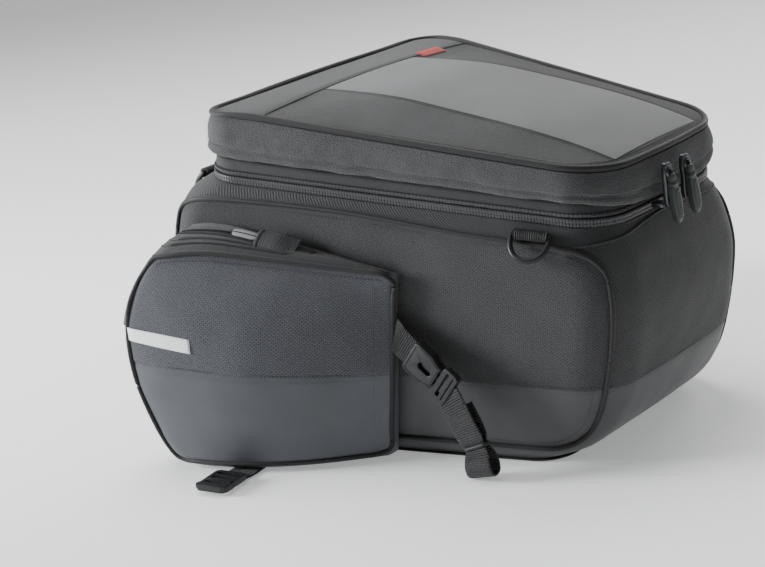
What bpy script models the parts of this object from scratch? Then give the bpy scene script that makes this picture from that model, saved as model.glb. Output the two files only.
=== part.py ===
"""Motorcycle tail bag: a semi-rigid fabric bag with a hinged zip lid, an expansion collar,
two side pockets, D-rings and fastening straps.

Frame: +Y towards the rider (front), +X to the right of the motorcycle, +Z up.
The origin is the middle of the underside, on the plane that the bag rests on.
All design values are in millimetres and are turned into metres when a mesh is made.
"""
import math
from collections import namedtuple

import bmesh
import bpy
from mathutils import Matrix, Vector

MM = 0.001
BAG = "tail_bag"
LEFT = -1.0
RIGHT = 1.0
SIDES = {"left": LEFT, "right": RIGHT}

# ---------------------------------------------------------------- driving dimensions
# A station is one horizontal outline of the bag. Its height grows forward by `tilt`.
Station = namedtuple("Station", "z tilt front_w front_y rear_w rear_y front_r rear_r bulge belly")

BODY = [
    Station(2.8, 0.000, 153.0, 170.0, 100.5, -117.0, 24.0, 28.0, 2.0, 1.0),
    Station(11.0, 0.005, 161.0, 184.0, 101.5, -135.0, 28.0, 34.0, 3.0, 2.0),
    Station(34.0, 0.015, 166.0, 198.0, 101.5, -156.0, 30.0, 39.0, 4.0, 3.0),
    Station(70.0, 0.035, 170.0, 210.0, 101.5, -170.0, 30.0, 42.0, 5.0, 4.0),
    Station(136.0, 0.065, 173.0, 215.0, 101.5, -181.0, 30.0, 42.0, 5.0, 5.0),
    Station(176.0, 0.090, 171.0, 209.0, 98.5, -177.0, 30.0, 42.0, 4.0, 5.0),
    Station(195.0, 0.100, 165.0, 198.0, 94.0, -171.0, 30.0, 40.0, 3.0, 4.0),
    Station(205.5, 0.105, 158.0, 182.0, 89.5, -167.0, 28.0, 40.0, 2.0, 3.0),
]
COLLAR = Station(220.0, 0.110, 155.0, 174.0, 88.5, -166.0, 28.0, 40.0, 1.0, 3.0)
FLAP = Station(228.4, 0.117, 161.5, 176.5, 95.0, -173.0, 30.0, 46.0, 1.0, 4.0)
BAND = Station(244.0, 0.135, 160.0, 174.5, 94.5, -172.5, 30.0, 46.0, 1.0, 4.0)
LID_EDGE = Station(260.0, 0.152, 154.5, 169.5, 92.0, -169.0, 25.0, 44.0, 1.0, 4.5)

ARC_STEPS = 4
SIDE_STEPS = 7
FRONT_STEPS = 5
REAR_STEPS = 4

GAP = 0.4
WALL = 4.0
LINING = 0.9
LINING_SLACK = 5.5
COATING = 1.0
COATED_TOP = 70.0
PIPING_R = 2.3
FLAP_DROOP = 10.0
LID_CROWN = 18.0
LID_CROWN_START = 0.05
TAG_W = 30.0
TAG_H = 10.0
LID_FRONT_DROP = 7.3
LID_DROP_Y = 116.0
LID_SEAM_Y = 110.0
LID_CENTRE_Y = -2.0
LID_TOP_T = 3.5
PANEL_LIFT = 1.3
PANEL_T = 0.9
PANEL_HALF_W = 61.0
HINGE_Y = 176.5
HINGE_Z = 248.0

# A pocket station: the rear corner, a point half-way along the outer face and the front corner
# of the right pocket, seen from above.
Pocket = namedtuple("Pocket", "z tilt rear_x rear_y mid_x mid_y front_x front_y")
POCKET = [
    Pocket(4.0, 0.000, 149.0, 15.0, 202.0, 87.0, 224.0, 182.0),
    Pocket(13.0, 0.010, 150.0, 12.0, 206.0, 88.0, 229.0, 193.0),
    Pocket(45.0, 0.050, 152.0, 6.0, 211.0, 90.0, 235.0, 209.0),
    Pocket(75.0, 0.084, 152.0, 1.0, 213.0, 92.0, 237.0, 216.0),
    Pocket(105.0, 0.100, 152.0, -3.0, 211.0, 92.0, 237.0, 216.0),
    Pocket(136.0, 0.125, 151.0, -7.0, 201.0, 92.0, 229.0, 209.0),
    Pocket(159.0, 0.150, 150.0, -10.0, 185.0, 92.0, 215.0, 198.0),
]
POCKET_OUTER_STEPS = 8
POCKET_INNER_STEPS = 5
POCKET_FRONT_R = 24.0
POCKET_REAR_R = 3.0
POCKET_INNER_GAP = 4.0
POCKET_INNER_Y = 190.0
POCKET_WALL = 2.4
POCKET_RISE = 16.0
POCKET_FALL_Y = 120.0
POCKET_FALL = 20.0
POCKET_COATED_TOP = 75.0
STRIPE_Z = 96.0
STRIPE_TILT = 0.07
STRIPE_FRONT_Y = 216.0
STRIPE_H = 11.0
SLOT_REAR_Y = 60.0
SLOT_FRONT_Y = 174.0
SLOT_HALF = 4.6
RISE_END_Y = 168.0
SLIDER_Y = 98.0
HOOD_Y = 88.0
HOOD_LENGTH = 36.0

WEBBING_W = 25.0
WEBBING_T = 1.8
BUCKLE_TILT = math.radians(38.0)
STRAP_RUN = ((-62.5, 57.5, 54.0), (-68.4, 45.0, 62.0), (-73.4, 33.0, 68.0), (-77.2, 21.0, 74.0),
             (-79.4, 12.0, 80.0))
ROLL_R = 7.4
ROLL_X = 150.5
ROLL_Y = -80.0
ROLL_Z = 8.6


# ---------------------------------------------------------------- outlines
def rounded_loop(corners, radii, arc_steps, edge_steps):
    """Anticlockwise closed outline: a fillet at each corner, then the edge to the next one."""
    fillets = []
    for i, radius in enumerate(radii):
        here = Vector(corners[i])
        back = (Vector(corners[i - 1]) - here).normalized()
        ahead = (Vector(corners[(i + 1) % len(corners)]) - here).normalized()
        half = back.angle(ahead) / 2.0
        centre = here + (back + ahead).normalized() * radius / math.sin(half)
        first = here + back * radius / math.tan(half) - centre
        start = math.atan2(first.y, first.x)
        sweep = math.pi - 2.0 * half
        arc = [start + sweep * k / arc_steps for k in range(arc_steps + 1)]
        fillets.append([centre + Vector((math.cos(a), math.sin(a))) * radius for a in arc])
    loop = []
    for i, fillet in enumerate(fillets):
        loop += fillet
        after = fillets[(i + 1) % len(fillets)][0]
        steps = edge_steps[i]
        loop += [fillet[-1].lerp(after, k / steps) for k in range(1, steps)]
    return loop


def mix(a, b, share):
    """The station between two stations."""
    return type(a)(*[p + (q - p) * share for p, q in zip(a, b)])


def station_at(stations, height):
    """The station at a height, straight between its neighbours."""
    for low, high in zip(stations, stations[1:]):
        if height <= high.z:
            return mix(low, high, (height - low.z) / (high.z - low.z))
    return stations[-1]


def outline(station, grow=0.0):
    """Plan outline of the bag at a station, from the rear right corner round to the rear."""
    front = station.front_w + grow
    rear = station.rear_w + grow
    front_y = station.front_y + grow
    rear_y = station.rear_y - grow
    corners = [(rear, rear_y), (front, front_y), (-front, front_y), (-rear, rear_y)]
    radii = [max(8.0, r + grow) for r in
             (station.rear_r, station.front_r, station.front_r, station.rear_r)]
    loop = rounded_loop(corners, radii, ARC_STEPS,
                        (SIDE_STEPS, FRONT_STEPS, SIDE_STEPS, REAR_STEPS))
    bulged = []
    for p in loop:
        along = (p.y - rear_y) / (front_y - rear_y)
        swell = math.sin(math.pi * min(1.0, max(0.0, along))) * station.bulge
        toward_end = (2.0 * along - 1.0)
        belly = station.belly * max(0.0, 1.0 - (p.x / rear) ** 2) * toward_end ** 3
        bulged.append(Vector((p.x + math.copysign(swell, p.x), p.y + belly)))
    return bulged


def ring(station, grow=0.0, lift=0.0, droop=0.0):
    """A closed ring of points. `droop` lowers the middle of its rear edge."""
    points = []
    for p in outline(station, grow):
        rear_share = max(0.0, min(1.0, (-p.y - 120.0) / 60.0))
        sag = droop * rear_share * math.cos(min(1.0, abs(p.x) / station.rear_w) * math.pi / 2.0)
        points.append(Vector((p.x, p.y, station.z + lift + station.tilt * p.y - sag)))
    return points


def half_width(station, y):
    """Half width of the bag at a station, between its corners."""
    along = (y - station.rear_y) / (station.front_y - station.rear_y)
    straight = station.rear_w + (station.front_w - station.rear_w) * along
    return straight + station.bulge * math.sin(math.pi * min(1.0, max(0.0, along)))


def lid_edge_height(y):
    """Height of the lid's edge, which drops towards the rider."""
    ahead = max(0.0, (y - LID_DROP_Y) / (LID_EDGE.front_y - LID_DROP_Y))
    return LID_EDGE.z + LID_EDGE.tilt * y - LID_FRONT_DROP * min(1.1, ahead) ** 1.5


def lid_height(x, y):
    """Height of the crowned lid above any point of the plan."""
    edge = half_width(LID_EDGE, y)
    along = (y - LID_CENTRE_Y) / (LID_EDGE.front_y - LID_CENTRE_Y)
    if along > LID_CROWN_START:
        share = min(1.0, (along - LID_CROWN_START) / (1.0 - LID_CROWN_START))
        fade = 1.0 - share * share * (3.0 - 2.0 * share)
    else:
        fade = 1.0 - min(1.0, along ** 4)
    return lid_edge_height(y) + LID_CROWN * fade * (1.0 - min(1.0, (x / edge) ** 2))


# ---------------------------------------------------------------- Blender helpers
def clear_scene():
    for old in list(bpy.data.objects):
        bpy.data.objects.remove(old, do_unlink=True)


def material(name, colour, roughness, metallic=0.0):
    made = bpy.data.materials.get(name) or bpy.data.materials.new(name)
    made.use_nodes = True
    shader = made.node_tree.nodes["Principled BSDF"]
    shader.inputs["Base Color"].default_value = (*colour, 1.0)
    shader.inputs["Roughness"].default_value = roughness
    shader.inputs["Metallic"].default_value = metallic
    return made


FINISHES = {
    "woven": ((0.055, 0.056, 0.060), 0.85, 0.0),
    "coated": ((0.075, 0.077, 0.082), 0.55, 0.0),
    "pale": ((0.165, 0.168, 0.172), 0.60, 0.0),
    "trim": ((0.020, 0.020, 0.022), 0.70, 0.0),
    "zip": ((0.060, 0.061, 0.064), 0.55, 0.0),
    "webbing": ((0.022, 0.022, 0.024), 0.80, 0.0),
    "plastic": ((0.018, 0.018, 0.020), 0.45, 0.0),
    "puller": ((0.045, 0.055, 0.052), 0.50, 0.0),
    "board": ((0.030, 0.030, 0.032), 0.60, 0.0),
    "metal": ((0.090, 0.092, 0.098), 0.35, 0.9),
    "white": ((0.850, 0.850, 0.860), 0.40, 0.0),
    "red": ((0.700, 0.060, 0.045), 0.60, 0.0),
    "grey_tab": ((0.330, 0.340, 0.350), 0.50, 0.0),
}


def finish_object(obj, finish):
    """Puts the object in the bag's collection with its own material."""
    made = material(obj.name + "_" + finish, *FINISHES[finish])
    obj.data.materials.clear()
    obj.data.materials.append(made)
    for group in list(obj.users_collection):
        group.objects.unlink(obj)
    bag_collection().objects.link(obj)
    return obj


def bag_collection():
    found = bpy.data.collections.get(BAG)
    if found is None:
        found = bpy.data.collections.new(BAG)
        bpy.context.scene.collection.children.link(found)
    return found


def mesh_object(name, points, faces, finish, smooth=True):
    mesh = bpy.data.meshes.new(name)
    mesh.from_pydata([tuple(p * MM) for p in points], [], faces)
    mesh.update()
    if smooth:
        mesh.shade_smooth()
        mesh.set_sharp_from_angle(angle=math.radians(40.0))
    obj = bpy.data.objects.new(name, mesh)
    bpy.context.scene.collection.objects.link(obj)
    return finish_object(obj, finish)


def loft(name, rings, finish, thickness, floor=False, roof=None, closed=True):
    """An open surface through rings that go up, made solid inwards.

    `floor` closes the first ring, and `roof` is the point that closes the last one.
    """
    count = len(rings[0])
    points = [p for one in rings for p in one]
    faces = []
    spans = count if closed else count - 1
    for level in range(len(rings) - 1):
        low = level * count
        high = low + count
        for i in range(spans):
            j = (i + 1) % count
            faces.append((low + i, low + j, high + j, high + i))
    if floor:
        faces.append(tuple(reversed(range(count))))
    if roof is not None:
        last = (len(rings) - 1) * count
        points.append(roof)
        faces += [(last + i, last + (i + 1) % count, len(points) - 1) for i in range(count)]
    obj = mesh_object(name, points, faces, finish)
    skin = obj.modifiers.new("wall", "SOLIDIFY")
    skin.thickness = thickness * MM
    skin.offset = -1.0
    skin.use_even_offset = True
    return obj


def face_out(mesh):
    """Turns all faces of a closed mesh outwards."""
    form = bmesh.new()
    form.from_mesh(mesh)
    bmesh.ops.recalc_face_normals(form, faces=form.faces)
    form.to_mesh(mesh)
    form.free()


def tube(name, points, radius, finish, cyclic=False, resolution=1):
    """A round cord along points."""
    curve = bpy.data.curves.new(name, "CURVE")
    curve.dimensions = "3D"
    curve.bevel_depth = radius * MM
    curve.bevel_resolution = resolution
    curve.use_fill_caps = True
    spline = curve.splines.new("POLY")
    spline.points.add(len(points) - 1)
    for spot, p in zip(spline.points, points):
        spot.co = (*(p * MM), 1.0)
    spline.use_cyclic_u = cyclic
    spline.use_smooth = True
    obj = bpy.data.objects.new(name, curve)
    bpy.context.scene.collection.objects.link(obj)
    return finish_object(obj, finish)


def ribbon(name, path, across, width, thickness, finish):
    """A flat strap along a path. `across` gives the width direction at each point."""
    points = []
    for i, p in enumerate(path):
        ahead = (path[min(i + 1, len(path) - 1)] - path[max(i - 1, 0)]).normalized()
        side = across[i].normalized()
        normal = side.cross(ahead).normalized()
        half_side = side * width / 2.0
        half_thick = normal * thickness / 2.0
        points += [p - half_side - half_thick, p + half_side - half_thick,
                   p + half_side + half_thick, p - half_side + half_thick]
    faces = [(3, 2, 1, 0)]
    for level in range(len(path) - 1):
        low = 4 * level
        faces += [(low + i, low + (i + 1) % 4, low + 4 + (i + 1) % 4, low + 4 + i)
                  for i in range(4)]
    last = 4 * (len(path) - 1)
    faces.append((last, last + 1, last + 2, last + 3))
    strap = mesh_object(name, points, faces, finish, smooth=False)
    face_out(strap.data)
    return strap


def slab(name, outline_points, thickness, finish, frame, bevel=0.0):
    """A flat outline with a thickness, centred on the XY plane of `frame`."""
    curve = bpy.data.curves.new(name + "_outline", "CURVE")
    curve.dimensions = "2D"
    curve.fill_mode = "BOTH"
    curve.extrude = thickness * MM / 2.0
    spline = curve.splines.new("POLY")
    spline.points.add(len(outline_points) - 1)
    for spot, (x, y) in zip(spline.points, outline_points):
        spot.co = (x * MM, y * MM, 0.0, 1.0)
    spline.use_cyclic_u = True
    guide = bpy.data.objects.new(name + "_outline", curve)
    bpy.context.scene.collection.objects.link(guide)
    bpy.context.view_layer.update()
    seen = guide.evaluated_get(bpy.context.evaluated_depsgraph_get())
    mesh = bpy.data.meshes.new_from_object(seen)
    bpy.data.objects.remove(guide, do_unlink=True)
    form = bmesh.new()
    form.from_mesh(mesh)
    bmesh.ops.remove_doubles(form, verts=form.verts, dist=0.00001)
    bmesh.ops.recalc_face_normals(form, faces=form.faces)
    form.to_mesh(mesh)
    form.free()
    mesh.name = name
    obj = bpy.data.objects.new(name, mesh)
    obj.matrix_world = frame
    bpy.context.scene.collection.objects.link(obj)
    if bevel:
        edge = obj.modifiers.new("soft edges", "BEVEL")
        edge.width = bevel * MM
        edge.segments = 1
        edge.limit_method = "ANGLE"
    return finish_object(obj, finish)


def frame_at(origin, x_axis, y_axis):
    """A placement in metres from an origin in millimetres and two directions."""
    x = x_axis.normalized()
    z = x.cross(y_axis).normalized()
    y = z.cross(x)
    turn = Matrix((x, y, z)).transposed().to_4x4()
    return Matrix.Translation(origin * MM) @ turn


def rounded_box(width, height, radius, steps=3):
    """Outline of a rectangle with round corners, centred on zero."""
    w = width / 2.0
    h = height / 2.0
    corners = [(w, -h), (w, h), (-w, h), (-w, -h)]
    loop = rounded_loop(corners, [radius] * 4, steps, (1, 1, 1, 1))
    return [(p.x, p.y) for p in loop]


def unite(target, tool):
    """Joins a second closed body to the target, then drops it."""
    union = target.modifiers.new("join", "BOOLEAN")
    union.operation = "UNION"
    union.object = tool
    bpy.context.view_layer.update()
    seen = target.evaluated_get(bpy.context.evaluated_depsgraph_get())
    joined = bpy.data.meshes.new_from_object(seen)
    target.modifiers.clear()
    target.data = joined
    bpy.data.objects.remove(tool, do_unlink=True)
    return target


def set_origin(obj, point):
    """Moves the object's origin to a point in millimetres, leaving its shape in place."""
    bpy.context.view_layer.update()
    shift = obj.matrix_world.inverted() @ (point * MM)
    obj.data.transform(Matrix.Translation(-shift))
    obj.matrix_world = obj.matrix_world @ Matrix.Translation(shift)


# ---------------------------------------------------------------- main compartment
def make_base():
    below = station_at(BODY, BODY[0].z)
    foot = [ring(below, 0.0, -below.z), ring(below, 2.0, -GAP)]
    panel = loft("base_panel", foot, "trim", 1.8, floor=True)
    panel.modifiers.clear()
    panel.data = capped(foot)
    finish_object(panel, "trim")
    board = [ring(below, -14.0, WALL + GAP), ring(below, -14.0, WALL + GAP + 2.0)]
    plate = mesh_object("base_board", [], [], "board")
    plate.data = capped(board)
    finish_object(plate, "board")


def capped(rings):
    """A solid between flat first and last rings."""
    count = len(rings[0])
    points = [p for one in rings for p in one]
    faces = [tuple(reversed(range(count)))]
    for level in range(len(rings) - 1):
        low = level * count
        faces += [(low + i, low + (i + 1) % count, low + count + (i + 1) % count, low + count + i)
                  for i in range(count)]
    last = (len(rings) - 1) * count
    faces.append(tuple(range(last, last + count)))
    mesh = bpy.data.meshes.new("solid")
    mesh.from_pydata([tuple(p * MM) for p in points], [], faces)
    mesh.update()
    return mesh


def lean(height):
    """How much more room a skin needs sideways where the wall slopes in towards the base."""
    return 1.0 + max(0.0, 1.0 - height / COATED_TOP)


def make_body():
    loft("main_shell", [ring(s) for s in BODY], "woven", WALL, floor=True)
    skirt = [s for s in BODY[1:] if s.z <= COATED_TOP]
    loft("lower_coated_band", [ring(s, (COATING + GAP) * lean(s.z)) for s in skirt], "coated",
         COATING)
    inner = [station_at(BODY, z) for z in (13.0, 34.0, 68.0, 130.0, 168.0)]
    loft("inner_lining", [ring(s, -WALL - LINING_SLACK) for s in inner], "trim", LINING, floor=True)


def piping_reach(height):
    """Distance of a piping's middle off the wall, clear of the coated band where there is one."""
    if height <= COATED_TOP + 4.0 * PIPING_R:
        return PIPING_R + (COATING + GAP) * lean(height) + 2.5 * GAP
    return PIPING_R + 4.0 * GAP


def side_station(q, height, side):
    """A point off the side panel: q runs from -1 at the rear corner to +1 at the front one."""
    station = station_at(BODY, height)
    loop = ring(station, piping_reach(height))
    rear_corner = ARC_STEPS / 2.0
    front_corner = ARC_STEPS * 1.5 + SIDE_STEPS
    bend = 0.90
    if abs(q) < bend:
        index = ARC_STEPS + SIDE_STEPS * (q / bend + 1.0) / 2.0
    else:
        past = (abs(q) - bend) / (1.0 - bend) * ARC_STEPS / 2.0
        index = ARC_STEPS + SIDE_STEPS + past if q > 0.0 else ARC_STEPS - past
    index = min(front_corner, max(rear_corner, index))
    low = int(index)
    p = loop[low].lerp(loop[low + 1], index - low)
    return Vector((p.x * side, p.y, p.z))


def make_side_piping():
    """Cord round the side panel: from behind the pocket, round the rear corner and over."""
    reach = 160.0
    turns = [(-0.16, 16.0), (-0.90, 16.0), (-1.0, 32.0), (-1.0, 172.0), (-0.82, 190.0),
             (-0.40, 193.0), (0.20, 198.0), (0.86, 194.0), (1.0, 187.0), (1.0, 181.0)]
    plan = resample([Vector((q * reach, h, 0.0)) for q, h in turns], 46)
    for label, side in SIDES.items():
        path = [side_station(p.x / reach, p.y, side) for p in plan]
        tube(label + "_side_piping", path, PIPING_R, "trim")


def make_collar():
    lower = COLLAR._replace(z=214.6, tilt=0.107)
    upper = COLLAR._replace(z=226.0, tilt=0.113)
    loft("expansion_collar", [ring(lower), ring(upper)], "woven", 3.0)
    coil_low = COLLAR._replace(z=207.4, tilt=0.105)
    coil_high = COLLAR._replace(z=213.8, tilt=0.107)
    loft("expansion_zip", [ring(coil_low, 0.6), ring(coil_high, 0.6)], "zip", 2.4)
    zip_low = COLLAR._replace(z=226.8, tilt=0.114)
    zip_high = COLLAR._replace(z=232.0, tilt=0.116)
    loft("main_zip", [ring(zip_low, -0.6), ring(zip_high, -0.6)], "zip", 2.0)
    folds = [(200.0, -8.0), (204.5, -18.0), (209.0, -8.0), (213.5, -18.0), (218.0, -8.0)]
    bellows = [ring(COLLAR._replace(z=z, tilt=0.105), inset) for z, inset in folds]
    loft("expansion_gusset", bellows, "trim", 0.8)


# ---------------------------------------------------------------- lid
def lid_ring(scale, sink=0.0, inset=0.0):
    points = []
    for p in outline(LID_EDGE, -inset):
        x = p.x * scale
        y = LID_CENTRE_Y + (p.y - LID_CENTRE_Y) * scale
        points.append(Vector((x, y, lid_height(x, y) - sink)))
    return points


def make_lid():
    hem = COLLAR._replace(z=234.0, tilt=0.117)
    rim = []
    for p in outline(mix(BAND, LID_EDGE, 0.85)):
        rim.append(Vector((p.x, p.y, lid_edge_height(p.y) - PIPING_R - 2.0 * GAP)))
    rings = [ring(hem, -1.5), ring(FLAP, 0.0, 0.0, FLAP_DROOP), ring(BAND, 0.0, 0.0, 1.0), rim]
    loft("lid_band", rings, "woven", 2.4)
    crest = Vector((0.0, LID_CENTRE_Y, lid_height(0.0, LID_CENTRE_Y)))
    dome = [lid_ring(s, 0.0, PIPING_R + GAP + 0.2) for s in (1.0, 0.93, 0.78, 0.5, 0.2)]
    loft("lid_top", dome, "woven", LID_TOP_T, roof=crest)
    inner_crest = crest - Vector((0.0, 0.0, 6.5))
    dish = [lid_ring(s, 6.5, 7.5) for s in (1.0, 0.8, 0.5, 0.2)]
    loft("lid_lining", dish, "trim", LINING, roof=inner_crest)
    edge = [Vector((p.x, p.y, lid_edge_height(p.y))) for p in outline(LID_EDGE)]
    tube("lid_piping", edge, PIPING_R, "trim", cyclic=True)


def patch(name, rows, finish):
    """A thin panel on the lid. Each row is a list of plan points, and rows go to the rear."""
    count = len(rows[0])
    points = []
    for row in rows:
        points += [Vector((x, y, lid_height(x, y) + PANEL_LIFT)) for x, y in row]
    faces = []
    for r in range(len(rows) - 1):
        for i in range(count - 1):
            a = r * count + i
            faces.append((a, a + count, a + count + 1, a + 1))
    panel = mesh_object(name, points, faces, finish)
    skin = panel.modifiers.new("sheet", "SOLIDIFY")
    skin.thickness = PANEL_T * MM
    skin.offset = 1.0
    return panel


def make_lid_panels():
    shares = [-1.0, -0.6, -0.2, 0.2, 0.6, 1.0]
    rear = LID_EDGE.rear_y + 6.5
    front = LID_SEAM_Y - 1.5
    rows = []
    for k in range(11):
        share = k / 10.0
        half = PANEL_HALF_W + 3.0 * math.sin(math.pi * share)
        y = front + (rear - front) * share
        rows.append([(half * s, y) for s in shares])
    patch("lid_centre_panel", rows, "pale")
    strip = []
    reach = LID_EDGE.front_y - PIPING_R - 3.5
    for k in range(6):
        y = reach + (LID_SEAM_Y + 0.5 - reach) * k / 5.0
        into_corner = max(0.0, y - (LID_EDGE.front_y - LID_EDGE.front_r))
        cut = LID_EDGE.front_r - math.sqrt(LID_EDGE.front_r ** 2 - into_corner ** 2)
        half = half_width(LID_EDGE, y) - 9.0 - cut
        strip.append([(half * s, y) for s in (-1.0, -0.8, -0.6, -0.3, 0.0, 0.3, 0.6, 0.8, 1.0)])
    patch("lid_front_panel", strip, "pale")
    tag_x = PANEL_HALF_W + 4.0 + TAG_W / 2.0
    tag_y = LID_SEAM_Y - 7.0
    roll = math.atan((lid_height(tag_x + 5.0, tag_y) - lid_height(tag_x - 5.0, tag_y)) / 10.0)
    rise = math.atan((lid_height(tag_x, tag_y + 5.0) - lid_height(tag_x, tag_y - 5.0)) / 10.0)
    frame = frame_at(Vector((tag_x, tag_y, lid_height(tag_x, tag_y) + 1.6)),
                     Vector((1.0, 0.0, math.tan(roll))), Vector((0.0, 1.0, math.tan(rise))))
    slab("lid_tab", rounded_box(TAG_W, TAG_H, 1.0, 1), 1.4, "red", frame)


# ---------------------------------------------------------------- side pockets
def pocket_loop(station, grow=0.0):
    """Outline of the right pocket, anticlockwise from the rear inner corner.

    `grow` moves the rear edge, the outer face and the front out, but not the inner side.
    """
    body = station_at(BODY, min(BODY[-1].z, max(BODY[0].z, station.z + 3.0)))
    inner_front_y = min(POCKET_INNER_Y, station.front_y - POCKET_FRONT_R)
    gap = POCKET_INNER_GAP
    inner_rear_x = half_width(body, station.rear_y) + gap
    rear = Vector((max(station.rear_x, inner_rear_x + 3.0 * POCKET_REAR_R), station.rear_y))
    start = rear + Vector((0.0, POCKET_REAR_R))
    end = Vector((station.front_x, station.front_y - POCKET_FRONT_R))
    pull = 2.0 * Vector((station.mid_x, station.mid_y)) - (start + end) / 2.0
    loop = [Vector((inner_rear_x, station.rear_y)), rear - Vector((POCKET_REAR_R, 0.0))]
    for k in range(POCKET_OUTER_STEPS + 1):
        t = k / POCKET_OUTER_STEPS
        loop.append(start * (1.0 - t) ** 2 + pull * 2.0 * t * (1.0 - t) + end * t ** 2)
    centre = end - Vector((POCKET_FRONT_R, 0.0))
    for k in range(1, ARC_STEPS + 1):
        turn = 0.5 * math.pi * k / ARC_STEPS
        loop.append(centre + Vector((math.cos(turn), math.sin(turn))) * POCKET_FRONT_R)
    outer = len(loop)
    for k in range(POCKET_INNER_STEPS):
        y = inner_front_y + (station.rear_y - inner_front_y) * k / POCKET_INNER_STEPS
        loop.append(Vector((half_width(body, y) + gap, y)))
    grown = []
    for i, p in enumerate(loop):
        if 0 < i < outer:
            ahead = (loop[i + 1] - loop[i - 1]).normalized()
            p = p + Vector((ahead.y, -ahead.x)) * grow
        grown.append(p)
    return grown


def pocket_height(station, y):
    """Height of a pocket station: its top falls away towards the rider."""
    fall = POCKET_FALL * (station.z / POCKET[-1].z) ** 4
    past = max(0.0, (y - POCKET_FALL_Y) / (POCKET[-1].front_y - POCKET_FALL_Y))
    return station.z + station.tilt * y - fall * past ** 2


POCKET_OUTER_LAST = 2 + POCKET_OUTER_STEPS + ARC_STEPS


def pocket_ring(station, side, grow=0.0, rise=0.0):
    """A ring of the pocket. `rise` lifts its inner side above its outer one."""
    points = []
    for i, p in enumerate(pocket_loop(station, grow)):
        inner = 0.0 if 0 < i <= POCKET_OUTER_LAST else 1.0
        along = max(0.0, (p.y - station.rear_y) / (RISE_END_Y - station.rear_y))
        z = pocket_height(station, p.y) + rise * inner * min(1.0, along)
        points.append(Vector((p.x * side, p.y, z)))
    return points if side > 0.0 else list(reversed(points))


def slot_line(y):
    """Middle of the pocket's zip, on the right side."""
    top = POCKET[-1]
    body = station_at(BODY, top.z + 14.0)
    along = (y - top.rear_y) / (RISE_END_Y - top.rear_y)
    x = half_width(body, y) + POCKET_INNER_GAP + 6.5 + 9.0 * along
    return Vector((x, y, pocket_height(top, y) + 2.5 + 0.62 * POCKET_RISE * along))


def slot_ring(side):
    """Mouth of the pocket, a narrow opening along the zip."""
    top = POCKET[-1]
    points = []
    for i, p in enumerate(pocket_loop(top)):
        share = (p.y - top.rear_y) / (top.front_y - top.rear_y)
        middle = slot_line(SLOT_REAR_Y + (SLOT_FRONT_Y - SLOT_REAR_Y) * share)
        half = SLOT_HALF * (0.4 + 0.6 * math.sin(math.pi * min(1.0, max(0.0, share))) ** 0.5)
        x = middle.x + (half if 0 < i <= POCKET_OUTER_LAST else -half)
        points.append(Vector((x * side, middle.y, middle.z)))
    return points if side > 0.0 else list(reversed(points))


def make_pocket(label, side):
    rings = [pocket_ring(s, side) for s in POCKET[:-1]]
    rings.append(pocket_ring(POCKET[-1], side, 0.0, POCKET_RISE))
    rings.append(slot_ring(side))
    loft(label + "_pocket_shell", rings, "woven", POCKET_WALL, floor=True)
    skirt = [s for s in POCKET if s.z <= POCKET_COATED_TOP][1:]
    strips = [outer_strip(s, side, (COATING + GAP) * lean(s.z), 1, POCKET_OUTER_LAST)
              for s in skirt]
    loft(label + "_pocket_coated_band", strips, "coated", COATING, closed=False)
    lift = COATING + GAP - 0.2
    low = POCKET_OUTER_STEPS
    high = POCKET_OUTER_STEPS + 3
    marks = []
    for z in (STRIPE_Z, STRIPE_Z + STRIPE_H):
        mark = []
        for i in range(low, high + 1):
            y = pocket_loop(station_at(POCKET, z))[i].y
            level = station_at(POCKET, z + STRIPE_TILT * (y - STRIPE_FRONT_Y))
            mark += outer_strip(level, side, lift, i, i)
        marks.append(mark if side > 0.0 else list(reversed(mark)))
    loft(label + "_reflective_stripe", marks, "white", 0.7, closed=False)
    make_pocket_piping(label, side)
    make_pocket_zip(label, side)


def outer_strip(station, side, grow, first, last):
    """The part of a pocket ring that shows: rear edge, outer face and front edge."""
    loop = pocket_loop(station, grow)[first:last + 1]
    points = []
    for p in loop:
        points.append(Vector((p.x * side, p.y, pocket_height(station, p.y))))
    return points if side > 0.0 else list(reversed(points))


def make_pocket_piping(label, side):
    """Cord along the outer face's rear edge, top and front edge."""
    rear_index = 2
    front_index = 2 + POCKET_OUTER_STEPS + ARC_STEPS // 2
    rear_edge = []
    front_edge = []
    for z in (20.0, 45.0, 75.0, 105.0, 136.0):
        level = station_at(POCKET, z)
        rear_edge += outer_strip(level, RIGHT, piping_reach(z), rear_index, rear_index)
        front_edge += outer_strip(level, RIGHT, piping_reach(z), front_index, front_index)
    crown = outer_strip(POCKET[-1], RIGHT, piping_reach(POCKET[-1].z), rear_index, front_index)
    lifted = [p + Vector((0.0, 0.0, 1.0)) for p in crown]
    path = rear_edge + lifted + list(reversed(front_edge))
    smooth = resample(path, 46)
    tube(label + "_pocket_piping", [Vector((p.x * side, p.y, p.z)) for p in smooth],
         PIPING_R - 0.3, "trim")


def resample(path, count):
    """Evenly spaced points along a path, with its corners eased."""
    eased = path
    for _ in range(2):
        cut = [eased[0]]
        for a, b in zip(eased, eased[1:]):
            cut += [a.lerp(b, 0.25), a.lerp(b, 0.75)]
        eased = cut + [eased[-1]]
    lengths = [0.0]
    for a, b in zip(eased, eased[1:]):
        lengths.append(lengths[-1] + (b - a).length)
    points = []
    k = 0
    for i in range(count):
        goal = lengths[-1] * i / (count - 1)
        while k < len(lengths) - 2 and lengths[k + 1] < goal:
            k += 1
        span = lengths[k + 1] - lengths[k]
        points.append(eased[k].lerp(eased[k + 1], (goal - lengths[k]) / span))
    return points


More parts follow.
